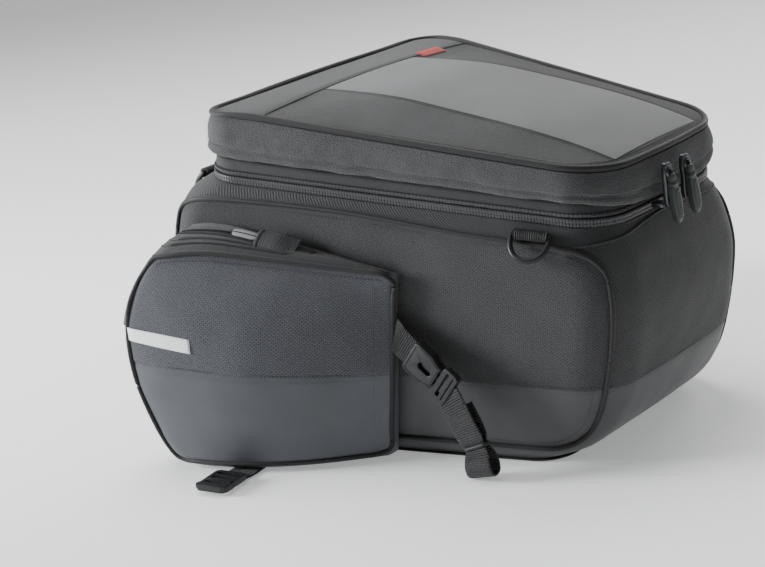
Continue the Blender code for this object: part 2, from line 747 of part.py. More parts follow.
def make_pocket_zip(label, side):
    """Zip along the pocket's mouth, with its slider and tab parked in a fabric hood."""
    reach = SLOT_FRONT_Y - SLOT_REAR_Y - 22.0
    spots = [slot_line(SLOT_REAR_Y + 8.0 + reach * k / 10.0) for k in range(11)]
    tube(label + "_pocket_zip", [Vector((p.x * side, p.y, p.z)) for p in spots], 1.7, "zip")
    ahead = slot_line(SLIDER_Y + 20.0) - slot_line(SLIDER_Y - 10.0)
    ahead = Vector((ahead.x * side, ahead.y, ahead.z)).normalized()
    across = Vector((side, 0.0, -0.55))
    up = ahead.cross(across).normalized() * side * -1.0
    seat = slot_line(SLIDER_Y)
    centre = Vector((seat.x * side, seat.y, seat.z)) + up * 3.9
    slab(label + "_pocket_slider", rounded_box(11.0, 7.0, 2.2, 2), 3.0, "metal",
         frame_at(centre, ahead, across), 0.5)
    pivot = centre + ahead * 7.2
    tab = slab(label + "_pocket_puller", rounded_box(22.0, 7.0, 1.6, 2), 1.6, "grey_tab",
               frame_at(pivot + ahead * 9.5, ahead, across), 0.4)
    set_origin(tab, pivot)
    rear = slot_line(HOOD_Y)
    foot = Vector((rear.x * side, rear.y, rear.z)) + up * 2.6
    arch = [(-8.5, 0.0), (-7.2, 0.0), (-5.4, 4.2), (5.4, 4.2), (7.2, 0.0), (8.5, 0.0),
            (6.2, 5.4), (-6.2, 5.4)]
    sideways = up.cross(ahead)
    slab(label + "_pocket_zip_hood", arch, HOOD_LENGTH, "woven", frame_at(foot, sideways, up))


# ---------------------------------------------------------------- hardware
def make_main_sliders():
    """Two sliders on the rear of the main zip, with moulded pullers that hang from them."""
    for label, x, swing in (("left", -28.0, 0.17), ("right", -1.0, 0.20)):
        face = FLAP.rear_y - FLAP.belly - 10.0
        profile = [(-16.0, -21.0), (-1.0, -21.0), (0.5, -19.5), (0.5, 12.5), (-1.0, 14.0),
                   (-1.8, 14.0), (-3.0, 12.5), (-3.0, -17.5), (-13.5, -17.5), (-13.5, -13.0),
                   (-16.0, -13.0)]
        frame = frame_at(Vector((x, face, 214.0)), Vector((0.0, -1.0, 0.0)), Vector((0.0, 0.0, 1.0)))
        slab(label + "_main_slider", profile, 10.0, "metal", frame, 0.6)
        hang = Vector((math.sin(swing), 0.0, -math.cos(swing)))
        grip = [(-3.4, 1.2), (-2.0, 2.8), (2.0, 2.8), (3.4, 1.2), (4.8, -8.0), (4.8, -25.0),
                (3.4, -36.0), (1.6, -38.5), (-1.6, -38.5), (-3.4, -36.0), (-4.8, -25.0),
                (-4.8, -8.0)]
        pivot = Vector((x, face - 5.2, 217.0))
        frame = frame_at(pivot, Vector((math.cos(swing), 0.0, math.sin(swing))), -hang)
        puller = slab(label + "_main_puller", grip, 5.6, "puller", frame, 1.3)
        set_origin(puller, pivot)


def d_ring_parts(name, centre, axis, drop):
    """A D-ring with its bar along `axis` in a webbing loop, and its bow along `drop`."""
    axis = axis.normalized()
    drop = drop.normalized()
    half = 16.5
    depth = 21.0
    path = [centre - axis * half, centre - axis * half * 0.33, centre + axis * half * 0.33]
    for k in range(13):
        angle = math.pi * k / 12.0
        bow = math.sin(angle) ** 0.7 * depth
        path.append(centre + axis * math.cos(angle) * half + drop * bow)
    path.pop()
    rod = tube(name + "_d_ring", path, 1.9, "plastic", cyclic=True)
    rod.data.transform(Matrix.Translation(-centre * MM))
    rod.location = centre * MM
    bpy.ops.mesh.primitive_cylinder_add(vertices=12, radius=4.4 * MM, depth=27.0 * MM,
                                        end_fill_type="NOTHING")
    loop = bpy.context.object
    loop.name = name + "_d_ring_loop"
    loop.data.name = loop.name
    loop.matrix_world = (Matrix.Translation(centre * MM)
                         @ axis.to_track_quat("Z", "Y").to_matrix().to_4x4())
    skin = loop.modifiers.new("webbing", "SOLIDIFY")
    skin.thickness = 1.6 * MM
    skin.offset = -1.0
    finish_object(loop, "webbing")


def make_d_rings():
    for label, side in SIDES.items():
        shoulder = station_at(BODY, 200.0)
        y = -116.0
        x = half_width(shoulder, y) + 6.4
        z = shoulder.z + shoulder.tilt * y
        slope = half_width(shoulder, y + 10.0) - half_width(shoulder, y - 10.0)
        axis = Vector((side * slope / 20.0, 1.0, shoulder.tilt))
        d_ring_parts(label + "_rear", Vector((x * side, y, z)), axis, Vector((side * 0.66, -0.08, -0.75)))
        front_z = shoulder.z + shoulder.tilt * 194.0
        centre = Vector((side * 108.0, 200.5, front_z))
        d_ring_parts(label + "_front", centre, Vector((1.0, 0.0, 0.0)), Vector((0.0, 0.72, -0.70)))


def buckle_frame(side, along):
    """Placement of the buckle: X along the strap, Y across it, at a distance along it."""
    path_dir = Vector((0.0, -math.cos(BUCKLE_TILT), -math.sin(BUCKLE_TILT)))
    across = Vector((0.0, -math.sin(BUCKLE_TILT), math.cos(BUCKLE_TILT)))
    start = Vector((side * 151.5, -13.0, 105.5))
    return start + path_dir * along, path_dir, across


def make_rear_strap(label, side):
    start, path_dir, across = buckle_frame(side, 0.0)
    near = start + path_dir * 11.5
    upright = Vector((0.0, -0.05, 1.0))
    ribbon(label + "_strap_upper_webbing", [start, near], [upright, across], WEBBING_W, WEBBING_T,
           "webbing")
    middle, _, _ = buckle_frame(side, 27.0)
    body = slab(label + "_buckle_female", rounded_box(30.0, 29.0, 4.0, 2), 9.0, "plastic",
                frame_at(middle, path_dir, across), 1.2)
    socket = slab("socket", rounded_box(34.0, 21.0, 1.0, 1), 5.0, "plastic",
                  frame_at(middle + path_dir * 8.0, path_dir, across))
    window = slab("window", rounded_box(9.0, 11.0, 1.5, 1), 20.0, "plastic",
                  frame_at(middle + path_dir * 1.5, path_dir, across))
    for tool in (socket, window):
        cut(body, tool)
    lead, _, _ = buckle_frame(side, 49.0)
    prongs = [(-27.0, -9.5), (-8.0, -9.5), (-8.0, -3.0), (-8.0, 3.0), (-8.0, 9.5), (-27.0, 9.5),
              (-27.0, 6.0), (-13.0, 5.5), (-13.0, 1.5), (-26.0, 1.5), (-26.0, -1.5), (-13.0, -1.5),
              (-13.0, -5.5), (-27.0, -6.0)]
    male = slab(label + "_buckle_male", rounded_box(15.0, 29.0, 3.0, 2), 7.0, "plastic",
                frame_at(lead + path_dir * 1.5, path_dir, across), 1.2)
    fork = slab("fork", prongs, 3.6, "plastic", frame_at(lead + path_dir * 2.5, path_dir, across))
    unite(male, fork)
    finish_object(male, "plastic")
    make_lower_webbing(label, side)


def cut(target, tool):
    """Cuts the tool's shape out of the target, then drops the tool."""
    hole = target.modifiers.new("opening", "BOOLEAN")
    hole.operation = "DIFFERENCE"
    hole.object = tool
    bpy.context.view_layer.update()
    seen = target.evaluated_get(bpy.context.evaluated_depsgraph_get())
    opened = bpy.data.meshes.new_from_object(seen)
    finish = target.data.materials[0]
    target.modifiers.clear()
    target.data = opened
    target.data.materials.clear()
    target.data.materials.append(finish)
    bpy.data.objects.remove(tool, do_unlink=True)


def make_lower_webbing(label, side):
    """The strap below the buckle, down to its rolled end."""
    start, path_dir, across = buckle_frame(side, 58.4)
    path = [start]
    spread = [across]
    for y, z, turn in STRAP_RUN:
        angle = math.radians(turn)
        path.append(Vector((side * ROLL_X, y, z)))
        spread.append(Vector((0.0, -math.sin(angle), math.cos(angle))))
    strap = ribbon(label + "_strap_lower_webbing", path, spread, WEBBING_W, 3.4, "webbing")
    bpy.ops.mesh.primitive_cylinder_add(vertices=14, radius=ROLL_R * MM, depth=(WEBBING_W + 1.0) * MM)
    roll = bpy.context.object
    roll.matrix_world = (Matrix.Translation(Vector((side * ROLL_X, ROLL_Y, ROLL_Z)) * MM)
                         @ Matrix.Rotation(math.radians(90.0), 4, "X"))
    bpy.context.view_layer.update()
    unite(strap, roll)
    finish_object(strap, "webbing")


def make_front_strap(label, side):
    """Front fastening strap, laid flat on the ground beside the bag."""
    across = Vector((0.0, 1.0, 0.0))
    xs = (160.0, 180.0, 205.0, 226.0)
    path = [Vector((side * x, 118.0 - 0.12 * (x - 160.0), 1.5)) for x in xs]
    ribbon(label + "_front_strap", path, [across] * len(path), WEBBING_W, WEBBING_T, "webbing")
    centre = Vector((side * 246.0, 108.0, 5.2))
    body = slab(label + "_front_buckle", rounded_box(33.0, 29.0, 4.0, 2), 9.0, "plastic",
                frame_at(centre, Vector((side, -0.12, 0.0)), across), 1.2)
    hole = slab("hole", rounded_box(9.0, 21.0, 1.0, 1), 20.0, "plastic",
                frame_at(centre + Vector((side * 8.0, -1.0, 0.0)), Vector((side, -0.12, 0.0)), across))
    cut(body, hole)


def hang_lid():
    """Parents the lid's pieces to an empty on the lid's hinge axis."""
    hinge = bpy.data.objects.new("lid_hinge", None)
    hinge.location = Vector((0.0, HINGE_Y, HINGE_Z)) * MM
    bag_collection().objects.link(hinge)
    bpy.context.view_layer.update()
    for name in ("lid_band", "lid_top", "lid_lining", "lid_piping", "lid_centre_panel",
                 "lid_front_panel", "lid_tab"):
        piece = bpy.data.objects[name]
        piece.parent = hinge
        piece.matrix_parent_inverse = hinge.matrix_world.inverted()


def main():
    clear_scene()
    make_base()
    make_body()
    make_side_piping()
    make_collar()
    make_lid()
    make_lid_panels()
    for label, side in SIDES.items():
        make_pocket(label, side)
        make_rear_strap(label, side)
        make_front_strap(label, side)
    make_main_sliders()
    make_d_rings()
    hang_lid()


main()
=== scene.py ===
from collections import namedtuple
from math import atan2, copysign, cos, exp, pi, radians, sin, sqrt, tan

import bmesh
import bpy
from mathutils import Matrix, Vector, noise


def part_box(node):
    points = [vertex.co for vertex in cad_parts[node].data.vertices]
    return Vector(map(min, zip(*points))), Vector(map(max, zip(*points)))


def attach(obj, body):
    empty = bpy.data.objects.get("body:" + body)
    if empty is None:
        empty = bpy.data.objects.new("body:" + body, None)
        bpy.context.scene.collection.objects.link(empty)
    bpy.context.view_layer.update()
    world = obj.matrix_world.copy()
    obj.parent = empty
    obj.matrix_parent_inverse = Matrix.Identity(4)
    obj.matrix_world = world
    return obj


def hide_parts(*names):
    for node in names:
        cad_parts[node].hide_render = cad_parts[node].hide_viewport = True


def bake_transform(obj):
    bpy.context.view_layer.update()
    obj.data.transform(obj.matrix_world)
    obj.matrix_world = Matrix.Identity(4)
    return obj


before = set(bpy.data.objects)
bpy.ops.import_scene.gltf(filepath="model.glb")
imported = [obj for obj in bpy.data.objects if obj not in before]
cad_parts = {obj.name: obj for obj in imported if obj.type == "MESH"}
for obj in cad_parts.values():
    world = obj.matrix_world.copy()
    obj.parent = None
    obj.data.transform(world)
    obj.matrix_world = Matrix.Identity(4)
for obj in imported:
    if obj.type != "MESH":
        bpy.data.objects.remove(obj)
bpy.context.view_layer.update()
MM = 0.001

# ---------------------------------------- the bag's outlines, in millimetres
Station = namedtuple("Station", "z tilt front_w front_y rear_w rear_y front_r rear_r bulge belly")
BODY = [
    Station(2.8, 0.000, 153.0, 170.0, 100.5, -117.0, 24.0, 28.0, 2.0, 1.0),
    Station(11.0, 0.005, 161.0, 184.0, 101.5, -135.0, 28.0, 34.0, 3.0, 2.0),
    Station(34.0, 0.015, 166.0, 198.0, 101.5, -156.0, 30.0, 39.0, 4.0, 3.0),
    Station(70.0, 0.035, 170.0, 210.0, 101.5, -170.0, 30.0, 42.0, 5.0, 4.0),
    Station(136.0, 0.065, 173.0, 215.0, 101.5, -181.0, 30.0, 42.0, 5.0, 5.0),
    Station(176.0, 0.090, 171.0, 209.0, 98.5, -177.0, 30.0, 42.0, 4.0, 5.0),
    Station(195.0, 0.100, 165.0, 198.0, 94.0, -171.0, 30.0, 40.0, 3.0, 4.0),
    Station(205.5, 0.105, 158.0, 182.0, 89.5, -167.0, 28.0, 40.0, 2.0, 3.0),
]
COLLAR = Station(220.0, 0.110, 155.0, 174.0, 88.5, -166.0, 28.0, 40.0, 1.0, 3.0)
FLAP = Station(228.4, 0.117, 161.5, 176.5, 95.0, -173.0, 30.0, 46.0, 1.0, 4.0)
BAND = Station(244.0, 0.135, 160.0, 174.5, 94.5, -172.5, 30.0, 46.0, 1.0, 4.0)
LID_EDGE = Station(260.0, 0.152, 154.5, 169.5, 92.0, -169.0, 25.0, 44.0, 1.0, 4.5)
Pocket = namedtuple("Pocket", "z tilt rear_x rear_y mid_x mid_y front_x front_y")
POCKET = [
    Pocket(4.0, 0.000, 149.0, 15.0, 202.0, 87.0, 224.0, 182.0),
    Pocket(13.0, 0.010, 150.0, 12.0, 206.0, 88.0, 229.0, 193.0),
    Pocket(45.0, 0.050, 152.0, 6.0, 211.0, 90.0, 235.0, 209.0),
    Pocket(75.0, 0.084, 152.0, 1.0, 213.0, 92.0, 237.0, 216.0),
    Pocket(105.0, 0.100, 152.0, -3.0, 211.0, 92.0, 237.0, 216.0),
    Pocket(136.0, 0.125, 151.0, -7.0, 201.0, 92.0, 229.0, 209.0),
    Pocket(159.0, 0.150, 150.0, -10.0, 185.0, 92.0, 215.0, 198.0),
]
ARC, SIDE, FRONT, REAR = 12, 76, 60, 36
LOOP = 4 * ARC + 2 * SIDE + FRONT + REAR
PANEL_TOP = [(-1.0, 168.0), (-0.975, 180.0), (-0.93, 187.5), (-0.82, 191.5), (-0.4, 193.5),
             (0.2, 198.0), (0.80, 195.5), (0.95, 190.0), (1.0, 180.0)]
PANEL_HALF_LENGTH = 165.0
COATED_TOP = 70.0
LID_CENTRE_Y, LID_SEAM_Y = -2.0, 110.0
NOSE_START_Y, NOSE_FALL = 116.0, 7.3
CROWN, CROWN_FADE_START = 18.0, 0.05
LIP_R, LIP_PROUD, BAND_ROWS = 3.2, 0.7, 22
PANEL_HALF_W, TAG_W, TAG_L = 61.0, 31.0, 10.0
OUTER, CORNER, INNER = 44, 10, 12
OUTER_FIRST, OUTER_LAST = 4, 4 + OUTER + CORNER
POCKET_SEAM, POCKET_TOP, POCKET_R, POCKET_GAP = 75.0, 159.0, 24.0, 4.0
SLOT_REAR_Y, SLOT_FRONT_Y, RISE_END_Y, SLOT_RISE = 60.0, 174.0, 168.0, 16.0
SLIDER_Y, HOOD_Y, HOOD_L = 98.0, 88.0, 32.0
WEBBING_W, WEBBING_T, RIB, RIB_DEPTH = 25.0, 1.8, 2.0, 0.5
WEBBING_UNDER = [(-1.0, -0.2), (-0.97, -0.75), (-0.90, -1.0), (-0.5, -0.96), (0.0, -0.92),
                 (0.5, -0.96), (0.90, -1.0), (0.97, -0.75), (1.0, -0.2)]
STRAP_FALL = radians(38.0)
STITCH_PITCH, STITCH_LENGTH, THREAD_R = 3.2, 2.1, 0.34
TOOTH_PROUD = 0.78
X_AXIS, Y_AXIS, Z_AXIS = Vector((1.0, 0.0, 0.0)), Vector((0.0, 1.0, 0.0)), Vector((0.0, 0.0, 1.0))


def smooth(t):
    t = min(1.0, max(0.0, t))
    return t * t * (3.0 - 2.0 * t)


def bell(distance, width):
    return exp(-(distance / width) ** 2)


def squared(value, power):
    """A sine or cosine made blunter, for rounded rectangular sections."""
    return copysign(abs(value) ** power, value)


def bend(start, pull, end, t):
    return start * (1.0 - t) ** 2 + pull * 2.0 * t * (1.0 - t) + end * t ** 2


def circle(count):
    return [2.0 * pi * k / count for k in range(count)]


def spread(first, last, count):
    """Evenly spaced values with both ends."""
    return [first + (last - first) * k / (count - 1) for k in range(count)]


def station_at(stations, height):
    """The station at a height, on a smooth curve through its neighbours."""
    k = 0
    while k < len(stations) - 2 and stations[k + 1].z < height:
        k += 1
    a, b = stations[k], stations[k + 1]
    before, after = stations[max(0, k - 1)], stations[min(len(stations) - 1, k + 2)]
    span = b.z - a.z
    t = min(1.0, max(0.0, (height - a.z) / span))
    values = []
    for p, q, r, s in zip(before, a, b, after):
        left = (r - p) / (b.z - before.z) * span if before is not a else r - q
        right = (s - q) / (after.z - a.z) * span if after is not b else r - q
        limit = 3.0 * abs(r - q)
        left, right = (max(-limit, min(limit, v)) for v in (left, right))
        values.append((2 * t ** 3 - 3 * t ** 2 + 1) * q + (t ** 3 - 2 * t ** 2 + t) * left
                      + (3 * t ** 2 - 2 * t ** 3) * r + (t ** 3 - t ** 2) * right)
    return type(a)(*values)._replace(z=min(stations[-1].z, max(stations[0].z, height)))


def rounded_loop(corners, radii, arc_steps, edge_steps):
    """Closed outline: a fillet at each corner, then the edge to the next one."""
    fillets = []
    for i, radius in enumerate(radii):
        here = Vector(corners[i])
        back = (Vector(corners[i - 1]) - here).normalized()
        ahead = (Vector(corners[(i + 1) % len(corners)]) - here).normalized()
        half = back.angle(ahead) / 2.0
        centre = here + (back + ahead).normalized() * radius / sin(half)
        first = here + back * radius / tan(half) - centre
        start = atan2(first.y, first.x)
        sweep = pi - 2.0 * half
        turn = 1.0 if back.cross(ahead) < 0.0 else -1.0
        arc = [start + turn * sweep * k / arc_steps for k in range(arc_steps + 1)]
        fillets.append([centre + Vector((cos(a), sin(a))) * radius for a in arc])
    loop = []
    for i, fillet in enumerate(fillets):
        after = fillets[(i + 1) % len(fillets)][0]
        loop += fillet
        loop += [fillet[-1].lerp(after, k / edge_steps[i]) for k in range(1, edge_steps[i])]
    return loop


def outline(station, grow=0.0):
    """Plan outline of the bag, from the rear right corner round to the rear."""
    front, rear = station.front_w + grow, station.rear_w + grow
    front_y, rear_y = station.front_y + grow, station.rear_y - grow
    corners = [(rear, rear_y), (front, front_y), (-front, front_y), (-rear, rear_y)]
    radii = [max(8.0, r + grow) for r in
             (station.rear_r, station.front_r, station.front_r, station.rear_r)]
    loop = []
    for p in rounded_loop(corners, radii, ARC, (SIDE, FRONT, SIDE, REAR)):
        along = (p.y - rear_y) / (front_y - rear_y)
        swell = sin(pi * min(1.0, max(0.0, along))) * station.bulge
        belly = station.belly * max(0.0, 1.0 - (p.x / rear) ** 2) * (2.0 * along - 1.0) ** 3
        loop.append(Vector((p.x + copysign(swell, p.x), p.y + belly)))
    return loop


def ring(station, grow=0.0, lift=0.0, droop=0.0):
    points = []
    for p in outline(station, grow):
        share = max(0.0, min(1.0, (-p.y - 120.0) / 60.0))
        sag = droop * share * cos(min(1.0, abs(p.x) / station.rear_w) * pi / 2.0)
        points.append(Vector((p.x, p.y, station.z + lift + station.tilt * p.y - sag)))
    return points


def half_width(station, y):
    along = (y - station.rear_y) / (station.front_y - station.rear_y)
    straight = station.rear_w + (station.front_w - station.rear_w) * along
    return straight + station.bulge * sin(pi * min(1.0, max(0.0, along)))


def lid_edge_height(y):
    ahead = max(0.0, (y - NOSE_START_Y) / (LID_EDGE.front_y - NOSE_START_Y))
    return LID_EDGE.z + LID_EDGE.tilt * y - NOSE_FALL * min(1.1, ahead) ** 1.5


def lid_height(x, y):
    edge = half_width(LID_EDGE, y)
    along = (y - LID_CENTRE_Y) / (LID_EDGE.front_y - LID_CENTRE_Y)
    if along > CROWN_FADE_START:
        fade = 1.0 - smooth((along - CROWN_FADE_START) / (1.0 - CROWN_FADE_START))
    else:
        fade = 1.0 - min(1.0, along ** 4)
    return lid_edge_height(y) + CROWN * fade * (1.0 - min(1.0, (x / edge) ** 2))


# ---------------------------------------- node materials
def node(tree, kind, inputs=(), **settings):
    made = tree.nodes.new(kind)
    for key, value in settings.items():
        setattr(made, key, value)
    for key, value in dict(inputs).items():
        if isinstance(value, bpy.types.NodeSocket):
            tree.links.new(value, made.inputs[key])
        else:
            made.inputs[key].default_value = value
    return made


def ramp(tree, source, stops):
    made = node(tree, "ShaderNodeValToRGB", {"Fac": source})
    band = made.color_ramp
    while len(band.elements) < len(stops):
        band.elements.new(0.5)
    for element, (spot, value) in zip(band.elements, stops):
        element.position = spot
        element.color = (value, value, value, 1.0)
    return made.outputs["Color"]


def math_node(tree, operation, a, b):
    return node(tree, "ShaderNodeMath", {0: a, 1: b}, operation=operation).outputs[0]


def weighted(tree, *pairs):
    """The sum of some values, each one times its weight."""
    total = None
    for value, weight in pairs:
        part = math_node(tree, "MULTIPLY", value, weight)
        total = part if total is None else math_node(tree, "ADD", total, part)
    return total


def tint(colour, k):
    return tuple(min(1.0, c * k) for c in colour) + (1.0,)


def start_material(name, roughness, sheen=0.0, metallic=0.0):
    made = bpy.data.materials.new(name)
    made.use_nodes = True
    tree = made.node_tree
    shader = tree.nodes["Principled BSDF"]
    for key, value in (("Roughness", roughness), ("Metallic", metallic), ("Sheen Weight", sheen),
                       ("Sheen Roughness", 0.45), ("Specular IOR Level", 0.35)):
        shader.inputs[key].default_value = value
    return made, tree, shader


def noise_of(tree, scale, detail):
    where = node(tree, "ShaderNodeTexCoord").outputs["Object"]
    made = node(tree, "ShaderNodeTexNoise", {"Vector": where, "Scale": scale, "Detail": detail})
    return made.outputs["Fac"]


def dress(tree, shader, level, low, high, height, strength, distance):
    """Gives the shader a colour between two by `level`, and the relief of `height`."""
    mixed = node(tree, "ShaderNodeMix", {"Factor": level}, data_type="RGBA")
    first, second = [s for s in mixed.inputs if s.type == "RGBA"]
    first.default_value, second.default_value = low, high
    tree.links.new([s for s in mixed.outputs if s.type == "RGBA"][0], shader.inputs["Base Color"])
    relief = node(tree, "ShaderNodeBump", {"Height": height, "Strength": strength,
                                           "Distance": distance})
    tree.links.new(relief.outputs["Normal"], shader.inputs["Normal"])


def cloth(name, colour, cell, rows, roughness, sheen, contrast=0.45, fleck=0.35, mottle=0.16,
          bump=0.5, turn=0.0, rib=False):
    """Woven fabric. `cell` and `rows` are the thread's length and height in millimetres."""
    made, tree, shader = start_material(name, roughness, sheen)
    flat = node(tree, "ShaderNodeUVMap", uv_map="cloth").outputs["UV"]
    wobble = node(tree, "ShaderNodeTexNoise", {"Vector": flat, "Scale": 1.6, "Detail": 2.0})
    shift = node(tree, "ShaderNodeVectorMath", {0: wobble.outputs["Color"], 1: (0.16, 0.16, 0.16)},
                 operation="MULTIPLY").outputs[0]
    flat = node(tree, "ShaderNodeVectorMath", {0: flat, 1: shift}, operation="ADD").outputs[0]
    threads = node(tree, "ShaderNodeMapping",
                   {"Vector": flat, "Rotation": (0.0, 0.0, turn),
                    "Scale": (10.0 / cell, 10.0 / rows, 1.0)}).outputs["Vector"]
    if rib:
        weave = node(tree, "ShaderNodeTexWave", {"Vector": threads, "Scale": 0.314,
                                                 "Distortion": 0.35, "Detail": 1.0},
                     wave_type="BANDS", bands_direction="Y").outputs["Fac"]
    else:
        brick = node(tree, "ShaderNodeTexBrick",
                     {"Vector": threads, "Color1": (1.0, 1.0, 1.0, 1.0),
                      "Color2": (0.74, 0.74, 0.74, 1.0), "Mortar": (0.0, 0.0, 0.0, 1.0),
                      "Scale": 1.0, "Mortar Size": 0.16, "Mortar Smooth": 0.6, "Bias": 0.1,
                      "Brick Width": 1.0, "Row Height": 1.0}, offset=0.5)
        weave = node(tree, "ShaderNodeRGBToBW", {0: brick.outputs["Color"]}).outputs[0]
    speck = node(tree, "ShaderNodeTexNoise", {"Vector": threads, "Scale": 1.1, "Detail": 2.0,
                                              "Roughness": 0.7}).outputs["Fac"]
    speck = ramp(tree, speck, [(0.42, 0.0), (0.72, 1.0)])
    large = ramp(tree, noise_of(tree, 14.0, 4.0), [(0.30, 0.0), (0.70, 1.0)])
    level = weighted(tree, (weave, contrast), (speck, fleck), (large, mottle))
    height = math_node(tree, "ADD", weave, math_node(tree, "MULTIPLY", speck, 0.7))
    dress(tree, shader, level, tint(colour, 0.55), tint(colour, 1.75), height, bump, 0.0006)
    return made


def skin(name, colour, roughness, sheen=0.0, metallic=0.0, grain=900.0, bump=0.25, mottle=0.18,
         edge_highlight=0.0):
    """Smooth coated cloth, moulded plastic or metal, with fine grain and soft patches.
    `edge_highlight` paints a highlight on sharp convex edges.
    """
    made, tree, shader = start_material(name, roughness, sheen, metallic)
    fine = noise_of(tree, grain, 3.0)
    patch = ramp(tree, noise_of(tree, 16.0, 5.0), [(0.32, 0.0), (0.68, 1.0)])
    parts = [(fine, 0.35), (patch, 0.5)]
    if edge_highlight:
        # Painted highlight: sharp convex edges, found by pointiness, get a lighter colour.
        point = node(tree, "ShaderNodeNewGeometry").outputs["Pointiness"]
        parts.append((ramp(tree, point, [(0.50, 0.0), (0.58, 1.0)]), edge_highlight))
    level = weighted(tree, *parts)
    rough = node(tree, "ShaderNodeMapRange", {"Value": level, "To Min": roughness - 0.06,
                                              "To Max": roughness + 0.08})
    tree.links.new(rough.outputs["Result"], shader.inputs["Roughness"])
    dress(tree, shader, level, tint(colour, 1.0 - mottle), tint(colour, 1.0 + mottle * 1.6),
          fine, bump, 0.0004)
    return made


LOOKS = {
    "side": cloth("side_weave", (0.036, 0.0365, 0.038), 3.4, 1.45, 0.80, 0.12, contrast=1.0,
                  fleck=0.5, bump=0.9),
    "rear": cloth("rear_twill", (0.031, 0.0315, 0.033), 1.9, 1.9, 0.74, 0.16, contrast=0.85,
                  fleck=0.35, turn=radians(40.0), rib=True),
    "pocket": cloth("pocket_weave", (0.056, 0.059, 0.068), 3.4, 1.4, 0.76, 0.14, contrast=0.85,
                    fleck=0.4, bump=0.8),
    "band": cloth("band_weave", (0.044, 0.0445, 0.046), 2.6, 1.7, 0.86, 0.18, contrast=0.85,
                  fleck=0.9, mottle=0.6, bump=1.0),
    "collar": cloth("collar_twill", (0.048, 0.0485, 0.050), 1.3, 1.3, 0.80, 0.2, contrast=0.30,
                    turn=radians(45.0), rib=True),
    "flank": cloth("lid_flank_weave", (0.040, 0.0405, 0.0415), 2.0, 1.5, 0.84, 0.15, contrast=0.55,
                   mottle=0.34),
    "lining": cloth("lining_cloth", (0.030, 0.030, 0.033), 0.9, 0.9, 0.70, 0.1, contrast=0.4,
                    mottle=0.2),
    "gusset": cloth("gusset_cloth", (0.026, 0.026, 0.028), 1.1, 1.1, 0.75, 0.1, contrast=0.4),
    "webbing": cloth("webbing_ribs", (0.013, 0.013, 0.014), 2.0, 2.0, 0.66, 0.12, contrast=0.95,
                     fleck=0.35, bump=1.0, rib=True),
    "tape": cloth("zip_tape", (0.016, 0.0165, 0.018), 1.4, 0.8, 0.78, 0.1, contrast=0.4),
    "tag": cloth("tag_cloth", (0.62, 0.060, 0.045), 0.8, 0.8, 0.62, 0.2, contrast=0.30, fleck=0.2),
    "pull_cloth": cloth("pull_tab_cloth", (0.28, 0.29, 0.30), 0.9, 0.7, 0.55, 0.2, contrast=0.35),
    "hood": cloth("hood_ribs", (0.040, 0.041, 0.043), 2.0, 2.0, 0.75, 0.15, contrast=0.5, rib=True),
    "pale": cloth("pale_panel_cloth", (0.170, 0.173, 0.176), 0.9, 0.8, 0.62, 0.15, contrast=0.22,
                  fleck=0.22, mottle=0.16, bump=0.3),
    "front": cloth("front_strip_cloth", (0.066, 0.0675, 0.069), 0.9, 0.9, 0.66, 0.12, contrast=0.16,
                   fleck=0.22, mottle=0.16, bump=0.3),
    "coated": skin("coated_cloth", (0.066, 0.071, 0.081), 0.46, sheen=0.25, grain=700.0, bump=0.35),
    "coated_body": skin("coated_body_cloth", (0.062, 0.063, 0.065), 0.54, sheen=0.15, grain=600.0,
                        bump=0.4, mottle=0.22),
    "piping": skin("piping_cloth", (0.013, 0.013, 0.014), 0.60, sheen=0.12, grain=1500.0, bump=0.5),
    "base": skin("base_grip_cloth", (0.022, 0.022, 0.024), 0.75, grain=420.0, bump=0.8),
    # Coil teeth, moulded plastic, puller and gunmetal below carry a painted highlight on their
    # sharp edges.
    "teeth": skin("coil_teeth", (0.055, 0.056, 0.058), 0.38, grain=1200.0, bump=0.1, edge_highlight=0.2),
    "plastic": skin("moulded_plastic", (0.013, 0.013, 0.014), 0.38, grain=1300.0, bump=0.22,
                    edge_highlight=0.35),
    "puller": skin("moulded_puller", (0.036, 0.044, 0.041), 0.46, grain=1100.0, bump=0.3, edge_highlight=0.4),
    "metal": skin("gunmetal", (0.085, 0.087, 0.092), 0.30, metallic=0.95, grain=800.0, bump=0.12,
                  edge_highlight=0.3),
    "white": skin("reflective_tape", (0.95, 0.95, 0.96), 0.38, grain=1400.0, bump=0.2, mottle=0.05),
    "thread": skin("thread", (0.050, 0.051, 0.054), 0.60, grain=1500.0, bump=0.2),
    "dark": skin("dark_seam", (0.010, 0.010, 0.011), 0.85, grain=900.0, bump=0.2),
    "board": skin("board_plastic", (0.030, 0.030, 0.032), 0.55, grain=500.0, bump=0.3),
}


